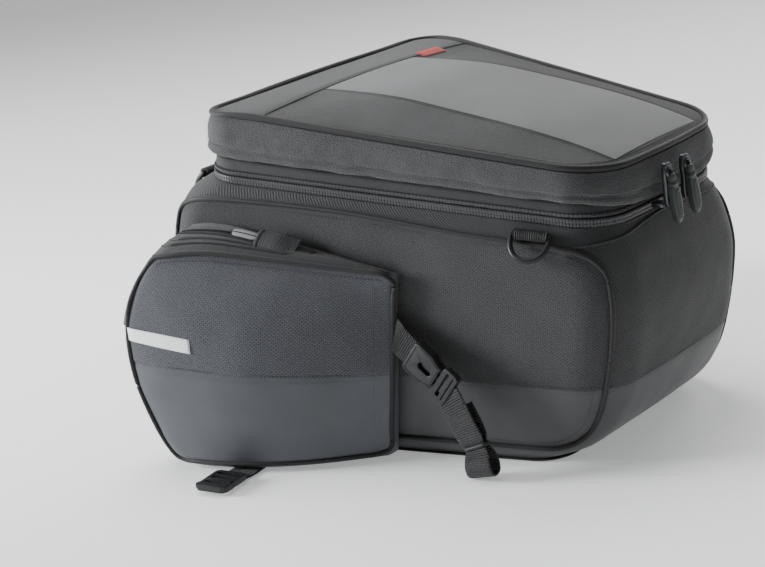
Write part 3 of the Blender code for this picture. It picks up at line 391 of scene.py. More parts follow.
# ---------------------------------------- mesh building
class Form:
    """Points, faces, flat cloth coordinates and looks of one piece."""

    def __init__(self):
        self.points, self.faces, self.flats, self.looks = [], [], [], []

    def grid(self, rows, look, closed=False, pick=None, turned=False):
        """A sheet through rows. `pick` names another look for a face from its row and column."""
        start, count = len(self.points), len(rows[0])
        middle = rows[len(rows) // 2]
        along, up = [0.0], [0.0]
        for i in range(count):
            along.append(along[-1] + (middle[(i + 1) % count] - middle[i]).length / 10.0)
        for low, high in zip(rows, rows[1:]):
            lengths = [(b - a).length for a, b in zip(low, high)]
            up.append(up[-1] + sum(lengths) / len(lengths) / 10.0)
        for row in rows:
            self.points += row
        for r in range(len(rows) - 1):
            for i in range(count if closed else count - 1):
                j = (i + 1) % count
                corners = [(r, i, i), (r, j, i + 1), (r + 1, j, i + 1), (r + 1, i, i)]
                if turned:
                    corners.reverse()
                self.faces.append([start + a * count + b for a, b, _ in corners])
                self.flats += [(along[k], up[a]) for a, _, k in corners]
                self.looks.append(pick(r, i) if pick else look)

    def cap(self, points, look, turned=False):
        """A fan that closes a ring."""
        start = len(self.points)
        centre = sum(points, Vector()) / len(points)
        self.points += points + [centre]
        for i in range(len(points)):
            face = [start + i, start + (i + 1) % len(points), start + len(points)]
            if turned:
                face.reverse()
            self.faces.append(face)
            self.flats += [((self.points[k].x - self.points[k].z) / 10.0, self.points[k].y / 10.0)
                           for k in face]
            self.looks.append(look)

    def solid(self, rows, look, turned=False):
        """A closed form through rings, with both ends capped."""
        self.grid(rows, look, closed=True, turned=turned)
        self.cap(rows[0], look, turned=not turned)
        self.cap(rows[-1], look, turned=turned)

    def tube(self, path, radius, look, sides=10, closed=False, up=Z_AXIS):
        """A cord along a path. `up` is a direction that the path doesn't take."""
        rows, count = [], len(path)
        for i, p in enumerate(path):
            ahead = path[(i + 1) % count] - path[i - 1] if closed else \
                path[min(i + 1, count - 1)] - path[max(i - 1, 0)]
            ahead.normalize()
            side = ahead.cross(up)
            if side.length < 0.2:
                side = ahead.cross(X_AXIS)
            side.normalize()
            top = side.cross(ahead)
            size = radius(i / (count - 1)) if callable(radius) else radius
            rows.append([p + (side * cos(a) + top * sin(a)) * size
                         for a in circle(sides)])
        if closed:
            self.grid(rows + rows[:1], look, closed=True)
        else:
            self.solid(rows, look)

    def stitches(self, path, closed=False):
        """A row of short threads along a path."""
        spots = even(path + path[:1] if closed else path, STITCH_PITCH)
        for a, b in zip(spots, spots[1:]):
            ahead = (b - a).normalized()
            side = ahead.orthogonal().normalized()
            top = side.cross(ahead)
            rows = []
            for share, size in ((0.0, 0.35), (0.2, 1.0), (0.8, 1.0), (1.0, 0.35)):
                middle = a + ahead * STITCH_LENGTH * share
                rows.append([middle + (side * cos(t) + top * sin(t)) * THREAD_R * size
                             for t in circle(5)])
            self.grid(rows, "thread", closed=True)


def even(path, step, closed=False):
    """Evenly spaced points on a smooth curve through a path."""
    points = list(path)
    fine = []
    count = len(points)
    for i in range(count if closed else count - 1):
        p0 = points[i - 1] if closed or i else points[0] * 2.0 - points[1]
        p1, p2 = points[i], points[(i + 1) % count]
        p3 = points[(i + 2) % count] if closed or i < count - 2 else p2 * 2.0 - p1
        parts = max(2, int((p2 - p1).length / step * 2.0) + 1)
        for k in range(parts):
            t = k / parts
            fine.append(0.5 * ((2.0 * p1) + (p2 - p0) * t + (2 * p0 - 5 * p1 + 4 * p2 - p3) * t * t
                               + (3 * p1 - p0 - 3 * p2 + p3) * t ** 3))
    fine.append(points[0] if closed else points[-1])
    lengths = [0.0]
    for a, b in zip(fine, fine[1:]):
        lengths.append(lengths[-1] + (b - a).length)
    total = max(2, round(lengths[-1] / step))
    spots, k = [], 0
    for i in range(total if closed else total + 1):
        goal = lengths[-1] * i / total
        while k < len(lengths) - 2 and lengths[k + 1] < goal:
            k += 1
        span = max(1e-9, lengths[k + 1] - lengths[k])
        spots.append(fine[k].lerp(fine[k + 1], (goal - lengths[k]) / span))
    return spots


def add(name, data):
    obj = bpy.data.objects.new(name, data)
    bpy.context.scene.collection.objects.link(obj)
    return obj


def build(name, form, angle=40.0, wall=0.0):
    """Makes a mesh object from a form. `wall` is the thickness it gets on its inside."""
    names = list(dict.fromkeys(form.looks))
    mesh = bpy.data.meshes.new(name)
    mesh.from_pydata([tuple(p * MM) for p in form.points], [], form.faces)
    flat = mesh.uv_layers.new(name="cloth")
    flat.data.foreach_set("uv", [v for pair in form.flats for v in pair])
    for look in names:
        mesh.materials.append(LOOKS[look])
    mesh.polygons.foreach_set("material_index", [names.index(look) for look in form.looks])
    mesh.shade_smooth()
    mesh.set_sharp_from_angle(angle=radians(angle))
    mesh.update()
    obj = add(name, mesh)
    if wall:
        solid = obj.modifiers.new("wall", "SOLIDIFY")
        solid.thickness = wall * MM
        solid.offset = -1.0
        settle(obj)
    return obj


def settle(obj):
    """Applies the object's modifiers to its mesh."""
    bpy.context.view_layer.update()
    graph = bpy.context.evaluated_depsgraph_get()
    mesh = bpy.data.meshes.new_from_object(obj.evaluated_get(graph), preserve_all_data_layers=True,
                                           depsgraph=graph)
    obj.modifiers.clear()
    obj.data = mesh
    return obj


def ripple(obj, size, length, seed, keep=lambda p: 1.0):
    """Small soft puckers along the surface's own directions."""
    mesh = obj.data
    normals = [v.normal.copy() for v in mesh.vertices]
    for v, normal in zip(mesh.vertices, normals):
        p = v.co / MM
        spot = Vector((p.x / length + seed, p.y / length, p.z / length * 1.3 + seed * 2.0))
        amount = (noise.noise(spot) + 0.5 * noise.noise(spot * 2.3)) * keep(p)
        v.co = v.co + normal * amount * size * MM
    mesh.update()


def place(obj, body, slot, *nodes):
    if nodes:
        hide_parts(*nodes)
    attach(obj, body)
    return obj


def place_pair(right, body, slot, *nodes):
    """Places a piece made on the right, and its mirror image. {} stands for the side's name."""
    mesh = right.data.copy()
    mesh.transform(Matrix.Scale(-1.0, 4, X_AXIS))
    mesh.flip_normals()
    left = add(right.name.replace("right", "left"), mesh)
    return [place(obj, body.format(side), slot, *(n.format(side) for n in nodes))
            for side, obj in (("left", left), ("right", right))]


def plate(name, outlines, thickness, place_at, bevel=0.5, segments=2, look="plastic"):
    """A flat moulded shape with rounded edges. The outlines after the first one are holes."""
    curve = bpy.data.curves.new(name + "_outline", "CURVE")
    curve.dimensions = "2D"
    curve.fill_mode = "BOTH"
    curve.extrude = thickness * MM / 2.0
    for loop in outlines:
        spline = curve.splines.new("POLY")
        spline.points.add(len(loop) - 1)
        for spot, (x, y) in zip(spline.points, loop):
            spot.co = (x * MM, y * MM, 0.0, 1.0)
        spline.use_cyclic_u = True
    guide = add(name + "_outline", curve)
    bpy.context.view_layer.update()
    graph = bpy.context.evaluated_depsgraph_get()
    mesh = bpy.data.meshes.new_from_object(guide.evaluated_get(graph))
    bpy.data.objects.remove(guide, do_unlink=True)
    form = bmesh.new()
    form.from_mesh(mesh)
    bmesh.ops.remove_doubles(form, verts=form.verts, dist=0.00001)
    bmesh.ops.recalc_face_normals(form, faces=form.faces)
    form.to_mesh(mesh)
    form.free()
    obj = add(name, mesh)
    edge = obj.modifiers.new("edges", "BEVEL")
    edge.width = bevel * MM
    edge.segments = segments
    edge.limit_method = "ANGLE"
    edge.angle_limit = radians(50.0)
    settle(obj)
    mesh = obj.data
    mesh.transform(place_at)
    mesh.materials.clear()
    mesh.materials.append(LOOKS[look])
    for layer in list(mesh.uv_layers):
        mesh.uv_layers.remove(layer)
    mesh.uv_layers.new(name="cloth")
    mesh.shade_smooth()
    mesh.set_sharp_from_angle(angle=radians(35.0))
    return obj


def join(name, *objs):
    """Several meshes as one piece."""
    looks = list(dict.fromkeys(look for obj in objs for look in obj.data.materials))
    joined = bpy.data.meshes.new(name)
    for look in looks:
        joined.materials.append(look)
    form = bmesh.new()
    for obj in objs:
        mesh = obj.data
        slots = [looks.index(look) for look in mesh.materials]
        for face in mesh.polygons:
            face.material_index = slots[face.material_index]
        form.from_mesh(mesh)
        bpy.data.objects.remove(obj, do_unlink=True)
    form.to_mesh(joined)
    form.free()
    return add(name, joined)


def rounded_box(width, height, radius, steps=5):
    w, h = width / 2.0, height / 2.0
    loop = rounded_loop([(w, -h), (w, h), (-w, h), (-w, -h)], [radius] * 4, steps, (1, 1, 1, 1))
    return [(p.x, p.y) for p in loop]


def shifted(loop, dx, dy=0.0):
    return [(x + dx, y + dy) for x, y in loop]


def frame_at(origin, x_axis, y_axis):
    x = x_axis.normalized()
    z = x.cross(y_axis).normalized()
    y = z.cross(x)
    return Matrix.Translation(origin * MM) @ Matrix((x, y, z)).transposed().to_4x4()


def cut_corners(points):
    """The same line with each of its corners cut off."""
    line = [points[0]]
    for a, b in zip(points, points[1:]):
        line += [a.lerp(b, 0.25), a.lerp(b, 0.75)]
    return line + [points[-1]]


def strap(form, path, across, waist=lambda p: 1.0):
    """Woven webbing with real ribs across it. `across` holds one width direction per path point."""
    for _ in range(3):
        path, across = cut_corners(path), cut_corners(across)
    spots = even(path, RIB / 4.0)
    marks = [0.0]
    for a, b in zip(path, path[1:]):
        marks.append(marks[-1] + (b - a).length)
    rows = []
    last = len(spots) - 1
    for i, p in enumerate(spots):
        ahead = (spots[min(i + 1, last)] - spots[max(i - 1, 0)]).normalized()
        at, k = i / last * marks[-1], 0
        while k < len(marks) - 2 and marks[k + 1] < at:
            k += 1
        share = smooth((at - marks[k]) / (marks[k + 1] - marks[k]))
        normal = across[k].lerp(across[k + 1], share).normalized().cross(ahead).normalized()
        side = ahead.cross(normal) * waist(p) * WEBBING_W / 2.0
        swell = WEBBING_T / 2.0 + RIB_DEPTH * 0.5 * cos(0.5 * pi * i)
        rows.append([p + side * x + normal * z * swell
                     for x, z in WEBBING_UNDER + [(-x, -z) for x, z in WEBBING_UNDER]])
    form.solid(rows, "webbing")


# ---------------------------------------- main compartment
def panel_share(i):
    """-1 at the rear corner's middle, +1 at the front corner's, on either side; None elsewhere."""
    for base, forward in ((0, True), (2 * ARC + SIDE + FRONT, False)):
        first, last = base + ARC / 2.0, base + ARC * 1.5 + SIDE
        if first <= i <= last:
            q = 2.0 * (i - first) / (last - first) - 1.0
            return q if forward else -q
    return None


def piping_height(q):
    """Height of the top piping along the side panel."""
    for (a, low), (b, high) in zip(PANEL_TOP, PANEL_TOP[1:]):
        if q <= b:
            return low + (high - low) * (q - a) / (b - a)
    return PANEL_TOP[-1][1]


def surface_point(index, height, reach):
    loop = ring(station_at(BODY, height), reach)
    low = int(index)
    return loop[low % len(loop)].lerp(loop[(low + 1) % len(loop)], index - low)


def floor_rows(edge, count):
    """Rings inside an edge ring, from the middle outwards."""
    return [[Vector((p.x * k / count, p.y * k / count, p.z)) for p in edge]
            for k in range(1, count)]


def make_shell():
    foot_z, top_z = BODY[0].z, BODY[-1].z
    heights = [foot_z, 4.5, 6.8, 9.5, 12.5] + [15.5 + 2.1 * k for k in range(90)]
    heights = [h for h in heights if h < top_z - 0.9] + [top_z]
    rows = [ring(station_at(BODY, h), -0.7 * bell(h - COATED_TOP, 1.3)) for h in heights]
    shoulder, collar_foot = rows[-1], ring(COLLAR._replace(z=206.9, tilt=0.106), 0.5)
    for k in range(1, 5):
        rise = Z_AXIS * 0.5 * sin(pi * k / 4.0)
        rows.append([p.lerp(q, k / 4.0) + rise for p, q in zip(shoulder, collar_foot)])
    under = floor_rows(rows[0], 9)
    heights = [foot_z] * len(under) + heights + [top_z] * 4

    def pick(r, i):
        if heights[r] < COATED_TOP:
            return "coated_body"
        q = panel_share(i + 0.5)
        return "side" if q is not None and heights[r] < piping_height(q) else "rear"

    form = Form()
    form.grid(under + rows, "side", closed=True, pick=pick)
    shell = build("bag_shell", form, angle=60.0, wall=2.6)
    ripple(shell, 0.7, 46.0, 3.1, lambda p: smooth(p.z / 30.0) * smooth((204.0 - p.z) / 12.0 + 0.2))
    seam = Form()
    seam.stitches(ring(station_at(BODY, COATED_TOP + 2.6), 0.1), closed=True)
    place(build("lower_seam_stitches", seam), "bag", "coated")
    place(shell, "bag", "woven", "main_shell", "lower_coated_band")

    foot = Form()
    low = station_at(BODY, foot_z)
    edge = [ring(low, grow, lift) for grow, lift in
            ((-12.0, -2.8), (-3.0, -2.8), (0.4, -2.4), (1.8, -1.6), (2.2, -0.7), (1.6, -0.3),
             (-8.0, -0.3))]
    foot.solid(edge, "base")
    foot.stitches(ring(low, -5.0, -2.7))
    place(build("bag_base", foot), "bag", "trim", "base_panel")

    inside = Form()
    levels = [13.0, 16.0, 22.0] + [34.0 + 9.0 * k for k in range(18)] + [197.5]
    rows = [ring(station_at(BODY, z), -9.5) for z in levels]
    inside.grid(floor_rows(rows[0], 8) + rows, "lining", closed=True)
    lining = build("bag_lining", inside, angle=50.0, wall=0.9)
    ripple(lining, 1.3, 34.0, 8.4)
    place(lining, "bag", "lining", "inner_lining")
    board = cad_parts["base_board"]
    for spot in range(len(board.data.materials)):
        board.data.materials[spot] = LOOKS["board"]


def panel_line(turns, reach):
    """A line on the body's right side, through shares of the side panel's length and heights."""
    first, last = ARC / 2.0, ARC * 1.5 + SIDE
    line = []
    for p in even([Vector((q * PANEL_HALF_LENGTH, h, 0.0)) for q, h in turns], 3.0):
        q = max(-1.0, min(1.0, p.x / PANEL_HALF_LENGTH))
        line.append(surface_point(first + (last - first) * (q + 1.0) / 2.0, p.y, reach))
    return line


def make_side_piping():
    corner = [(1.0, 42.0), (0.99, 27.0), (0.955, 18.5), (0.86, 15.5)]
    rear = [(-q, h) for q, h in reversed(corner)] + [(-1.0, h) for h in (70.0, 110.0, 150.0)]
    front = [(1.0, h) for h in (160.0, 110.0, 70.0)] + corner
    low = [(0.25, 15.5), (-0.10, 15.5), (-0.5, 15.5)]
    turns = low + rear + PANEL_TOP + front + [(0.26, 15.5)]
    cord = Form()
    cord.tube(panel_line(turns, 1.1), 2.1, "piping")
    cord.tube(panel_line(turns, 0.25), 0.8, "dark", sides=6)
    place_pair(build("right_side_cord", cord), "bag", "trim", "{}_side_piping")
    welt = Form()
    welt.stitches(panel_line(
        [(-0.5, 20.7), (-0.84, 20.7), (-0.925, 27.2), (-0.952, 39.2), (-0.957, 70.0),
         (-0.957, 150.0), (-0.952, 168.0), (-0.93, 178.0), (-0.90, 183.0), (-0.80, 186.4),
         (-0.4, 188.3), (0.2, 192.8), (0.78, 190.3), (0.91, 186.0)], 0.15))
    place_pair(build("right_side_stitches", welt), "bag", "trim")
    hem = Form()
    steps, first = REAR + ARC + 14, LOOP - REAR - ARC // 2 - 7
    spots = []
    for k in range(steps + 1):
        drop = 12.5 * abs(2.0 * k / steps - 1.0) ** 1.9
        spots.append(surface_point((first + k) % LOOP, 203.0 - drop, 0.2))
    hem.tube(spots, 1.0, "rear", sides=8)
    hem.stitches([p + Vector((0.0, -0.2, -3.2)) for p in spots])
    place(build("rear_hem", hem), "bag", "trim")


def teeth(form, line, low, high, pitch=2.5):
    """A row of coil teeth between two heights along a closed outline."""
    spots = even(line, pitch, closed=True)
    for i, p in enumerate(spots):
        ahead = (spots[(i + 1) % len(spots)] - spots[i - 1]).normalized()
        out = Vector((ahead.y, -ahead.x, 0.0)).normalized()
        rows = []
        for share, size in ((0.0, 0.30), (0.25, 1.0), (0.75, 1.0), (1.0, 0.30)):
            middle = p + Z_AXIS * (low + (high - low) * share) + out * 0.3
            rows.append([middle + (ahead * cos(a) * pitch * 0.27
                                   + out * sin(a) * TOOTH_PROUD) * size for a in circle(6)])
        form.grid(rows, "teeth", closed=True)


def collar_ring(z, grow, tilt=0.106):
    return ring(COLLAR._replace(z=z, tilt=tilt), grow)


def make_collar():
    line = collar_ring(0.0, 0.7)
    low = Form()
    low.grid([collar_ring(z, grow) for z, grow in
              ((206.6, -1.2), (206.9, 0.2), (207.6, 0.5), (208.8, 0.3), (209.9, 0.0),
               (210.0, -1.0))], "tape", closed=True)
    teeth(low, line, 208.0, 210.3)
    place(build("expansion_lower_tape", low, wall=1.2), "bag", "zip", "expansion_zip")
    high = Form()
    rows = [collar_ring(z, grow, tilt) for z, tilt, grow in
            ((210.6, 0.106, -1.0), (210.7, 0.106, 0.1), (211.9, 0.106, 0.6), (213.2, 0.107, 0.8),
             (214.0, 0.107, 0.3), (215.0, 0.107, 0.9), (217.0, 0.108, 0.6), (220.0, 0.110, 0.2),
             (223.0, 0.112, -0.4), (225.9, 0.113, -1.6))]
    high.grid(rows, "collar", closed=True, pick=lambda r, i: "tape" if r < 4 else "collar")
    teeth(high, line, 210.7, 213.0)
    high.stitches(collar_ring(216.6, 0.9, 0.108), closed=True)
    strip = build("collar_strip", high, wall=1.4)
    ripple(strip, 0.35, 30.0, 5.2, lambda p: smooth((p.z - p.y * 0.107 - 214.0) / 3.0))
    place(strip, "collar", "woven", "expansion_collar")
    tape = Form()
    tape.grid([collar_ring(z, grow, 0.115) for z, grow in
               ((226.3, -0.6), (228.0, -0.3), (230.0, -0.3), (232.0, -0.8))], "tape", closed=True)
    teeth(tape, collar_ring(0.0, -0.9, 0.115), 229.0, 231.4, pitch=2.2)
    place(build("main_zip_tape", tape, wall=1.0), "collar", "zip", "main_zip")
    folds = Form()
    inset, depth = -11.2, 8.2
    rows = [collar_ring(200.0 + 18.0 * k / 48.0, inset + depth * cos(pi * k / 12.0), 0.105)
            for k in range(49)]
    folds.grid(rows, "gusset", closed=True)
    gusset = build("expansion_bellows", folds, wall=0.7)
    area = sum(f.area for f in gusset.data.polygons) / 2.0
    middle = collar_ring(209.0, inset, 0.105)
    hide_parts("expansion_gusset")
    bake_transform(gusset)


# ---------------------------------------- lid
def lid_ring(scale, sink=0.0, inset=0.0):
    points = []
    for p in outline(LID_EDGE, -inset):
        x, y = p.x * scale, LID_CENTRE_Y + (p.y - LID_CENTRE_Y) * scale
        points.append(Vector((x, y, lid_height(x, y) - sink)))
    return points


def edge_line(lift, grow=0.0, edge=LID_EDGE):
    """A line along the lid's edge."""
    return [Vector((p.x, p.y, lid_edge_height(p.y) + lift)) for p in outline(edge, grow)]


def make_lid():
    flap, middle = ring(FLAP, 0.0, 0.0, 10.0), ring(BAND, 0.0, 0.0, 1.0)
    rim = edge_line(-1.2, 0.0, LID_EDGE._replace(front_w=155.4, rear_w=92.4, front_y=170.2,
                                                 rear_y=-169.6))
    hem = collar_ring(234.0, 0.6, 0.117)
    ahead = [b - a for a, b in zip(flap[-1:] + flap[:-1], flap[1:] + flap[:1])]
    outwards = [Vector((d.y, -d.x, 0.0)).normalized() for d in ahead]
    rows = [hem, [h.lerp(f, 0.75) - o for h, f, o in zip(hem, flap, outwards)]]
    for k in range(6):
        turn = radians(30.0 * k - 150.0)
        reach, rise = LIP_R * (cos(turn) - 1.0) + LIP_PROUD, LIP_R * (sin(turn) + 1.0)
        rows.append([f + o * reach + Z_AXIS * rise for f, o in zip(flap, outwards)])
    for k in range(1, BAND_ROWS + 1):
        t = k / BAND_ROWS
        swell = 0.8 * sin(pi * t) - 1.1 * bell(t - 0.16, 0.07)
        row = []
        for f, m, r, o in zip(flap, middle, rim, outwards):
            start = f + Z_AXIS * LIP_R + o * LIP_PROUD
            row.append(bend(start, m * 2.0 - (start + r) / 2.0, r, t) + o * swell)
        rows.append(row)
    form = Form()
    form.grid(rows, "band", closed=True)
    skirt = build("lid_skirt", form, angle=60.0, wall=1.8)
    ripple(skirt, 1.5, 24.0, 1.7, lambda p: smooth((lid_edge_height(p.y) - 4.0 - p.z) / 14.0))
    place(skirt, "lid", "woven", "lid_band")
    seams = Form()
    seams.stitches([p + o * 0.15 for p, o in zip(rows[11], outwards)], closed=True)
    place(build("lid_skirt_stitches", seams), "lid", "woven")

    top = Form()
    shares = [1.0 - 0.012 * k for k in range(5)] + [0.95 - 0.05 * k for k in range(1, 19)] + [0.02]
    rows = [lid_ring(s, 1.2 * (1.0 - smooth((1.0 - s) / 0.02)), 1.4) for s in shares]
    top.grid(rows, "flank", closed=True)
    top.cap(rows[-1], "flank")
    crown = build("lid_crown", top, angle=60.0, wall=3.0)
    ripple(crown, 0.5, 60.0, 4.4)
    place(crown, "lid", "woven", "lid_top")

    under = Form()
    rows = [lid_ring(s, 6.5, 7.5) for s in (1.0, 0.9, 0.8, 0.65, 0.5, 0.35, 0.2, 0.05, 0.01)]
    under.grid(rows, "lining", closed=True)
    under.cap(rows[-1], "lining")
    dish = build("lid_underside", under, wall=0.8)
    ripple(dish, 0.6, 40.0, 6.2)
    place(dish, "lid", "lining", "lid_lining")

    cord = Form()
    cord.tube(edge_line(0.2), 2.5, "piping", sides=12, closed=True)
    cord.tube(edge_line(-2.9, 0.6), 0.9, "dark", sides=6, closed=True)
    place(build("lid_cord", cord), "lid", "trim", "lid_piping")
    sewn = Form()
    sewn.stitches(lid_ring(0.972, -0.15, 1.4), closed=True)
    place(build("lid_edge_stitches", sewn), "lid", "trim")


def sheet_rows(rows, lift, edge_drop=0.6):
    """Points on the lid for a sewn panel whose edges turn down."""
    made = []
    for r, row in enumerate(rows):
        line = []
        for i, (x, y) in enumerate(row):
            inside = 0 < i < len(row) - 1 and 0 < r < len(rows) - 1
            line.append(Vector((x, y, lid_height(x, y) + lift - (0.0 if inside else edge_drop))))
        made.append(line)
    return made


def make_lid_panels():
    form = Form()
    rows = []
    for share, y in zip(spread(0.0, 1.0, 61), spread(LID_SEAM_Y - 1.5, LID_EDGE.rear_y + 4.6, 61)):
        half = PANEL_HALF_W + 3.0 * sin(pi * share)
        rows.append([(x, y) for x in spread(-half, half, 33)])
    points = sheet_rows(rows, 0.9)
    form.grid(points, "pale", turned=True)
    for column, side in ((0, -X_AXIS), (-1, X_AXIS)):
        line = [row[column] for row in points]
        form.tube([p + side * 0.5 - Z_AXIS * 0.1 for p in line], 0.4, "thread", sides=6)
        form.stitches([p + side * 3.2 - Z_AXIS * 0.5 for p in line])
    place(build("lid_pale_panel", form), "lid", "pale", "lid_centre_panel")
    form = Form()
    rows = []
    for y in spread(LID_EDGE.front_y - 4.4, LID_SEAM_Y + 0.5, 19):
        into = max(0.0, y - (LID_EDGE.front_y - LID_EDGE.front_r))
        corner = LID_EDGE.front_r - sqrt(LID_EDGE.front_r ** 2 - into ** 2)
        half = half_width(LID_EDGE, y) - 5.0 - corner
        rows.append([(x, y) for x in spread(-half, half, 49)])
    points = sheet_rows(rows, 1.0)
    form.grid(points, "front", turned=True)
    form.tube([p + Vector((0.0, -0.6, -0.1)) for p in points[-1]], 0.45, "thread", sides=6)
    form.stitches([p + Vector((0.0, 3.0, 0.55)) for p in points[-1]])
    place(build("lid_front_strip", form), "lid", "pale", "lid_front_panel")
    form = Form()
    tag_x, tag_y = PANEL_HALF_W + 19.0, LID_SEAM_Y - 7.0
    rows = []
    for t in spread(0.0, 1.0, 9):
        y = tag_y + TAG_L * (0.5 - t)
        curl = 0.5 * sin(pi * t) + 2.6 * (1.0 - t)
        rows.append([Vector((x, y, lid_height(x, y) + 1.2 + curl))
                     for x in spread(tag_x - TAG_W / 2.0, tag_x + TAG_W / 2.0, 15)])
    form.grid(rows, "tag", turned=True)
    place(build("lid_tag", form, wall=0.7), "lid", "red", "lid_tab")


# ---------------------------------------- side pockets, made on the right
def pocket_loop(station, grow=0.0):
    body = station_at(BODY, min(BODY[-1].z, max(BODY[0].z, station.z + 3.0)))
    inner_front_y = min(190.0, station.front_y - POCKET_R)
    inner_rear_x = half_width(body, station.rear_y) + POCKET_GAP
    rear = Vector((max(station.rear_x, inner_rear_x + 9.0), station.rear_y))
    start = rear + Vector((0.0, 3.0))
    end = Vector((station.front_x, station.front_y - POCKET_R))
    pull = 2.0 * Vector((station.mid_x, station.mid_y)) - (start + end) / 2.0
    loop = [Vector((inner_rear_x, station.rear_y)), rear - Vector((6.0, 0.0)),
            rear - Vector((3.4, -0.2)), rear - Vector((1.2, -1.2))]
    loop += [bend(start, pull, end, k / OUTER) for k in range(OUTER + 1)]
    centre = end - Vector((POCKET_R, 0.0))
    for k in range(1, CORNER + 1):
        turn = 0.5 * pi * k / CORNER
        loop.append(centre + Vector((cos(turn), sin(turn))) * POCKET_R)
    outer = len(loop)
    for k in range(INNER):
        y = inner_front_y + (station.rear_y - inner_front_y) * k / INNER
        loop.append(Vector((half_width(body, y) + POCKET_GAP, y)))
    grown = []
    for i, p in enumerate(loop):
        if 0 < i < outer:
            ahead = (loop[i + 1] - loop[i - 1]).normalized()
            p = p + Vector((ahead.y, -ahead.x)) * grow
        grown.append(p)
    return grown


def is_outer(i):
    return 0 < i <= OUTER_LAST


def pocket_height(station, y):
    fall = 20.0 * (station.z / POCKET_TOP) ** 4
    past = max(0.0, (y - 120.0) / (POCKET[-1].front_y - 120.0))
    return station.z + station.tilt * y - fall * past ** 2


def pocket_ring(station, grow=0.0, rise=0.0):
    points = []
    for i, p in enumerate(pocket_loop(station, grow)):
        along = max(0.0, (p.y - station.rear_y) / (RISE_END_Y - station.rear_y))
        lift = 0.0 if is_outer(i) else rise * min(1.0, along)
        points.append(Vector((p.x, p.y, pocket_height(station, p.y) + lift)))
    return points


def slot_line(y):
    """The middle of the pocket's zip at a place along the bag."""
    top = POCKET[-1]
    along = (y - top.rear_y) / (RISE_END_Y - top.rear_y)
    x = half_width(station_at(BODY, top.z + 14.0), y) + 10.5 + 9.0 * along
    return Vector((x, y, pocket_height(top, y) + 2.5 + 9.92 * along))


def slot_ring(half_slot=4.6):
    top = POCKET[-1]
    points = []
    for i, p in enumerate(pocket_loop(top)):
        share = (p.y - top.rear_y) / (top.front_y - top.rear_y)
        half = half_slot * (0.4 + 0.6 * sin(pi * min(1.0, max(0.0, share))) ** 0.5)
        points.append(slot_line(SLOT_REAR_Y + (SLOT_FRONT_Y - SLOT_REAR_Y) * share)
                      + X_AXIS * (half if is_outer(i) else -half))
    return points


def outer_line(z, first, last, grow, lift=0.0):
    """A line round the pocket's outside, between two points of its loop."""
    station = station_at(POCKET, z)
    return [Vector((p.x, p.y, pocket_height(station, p.y) + lift))
            for p in pocket_loop(station, grow)[first:last + 1]]


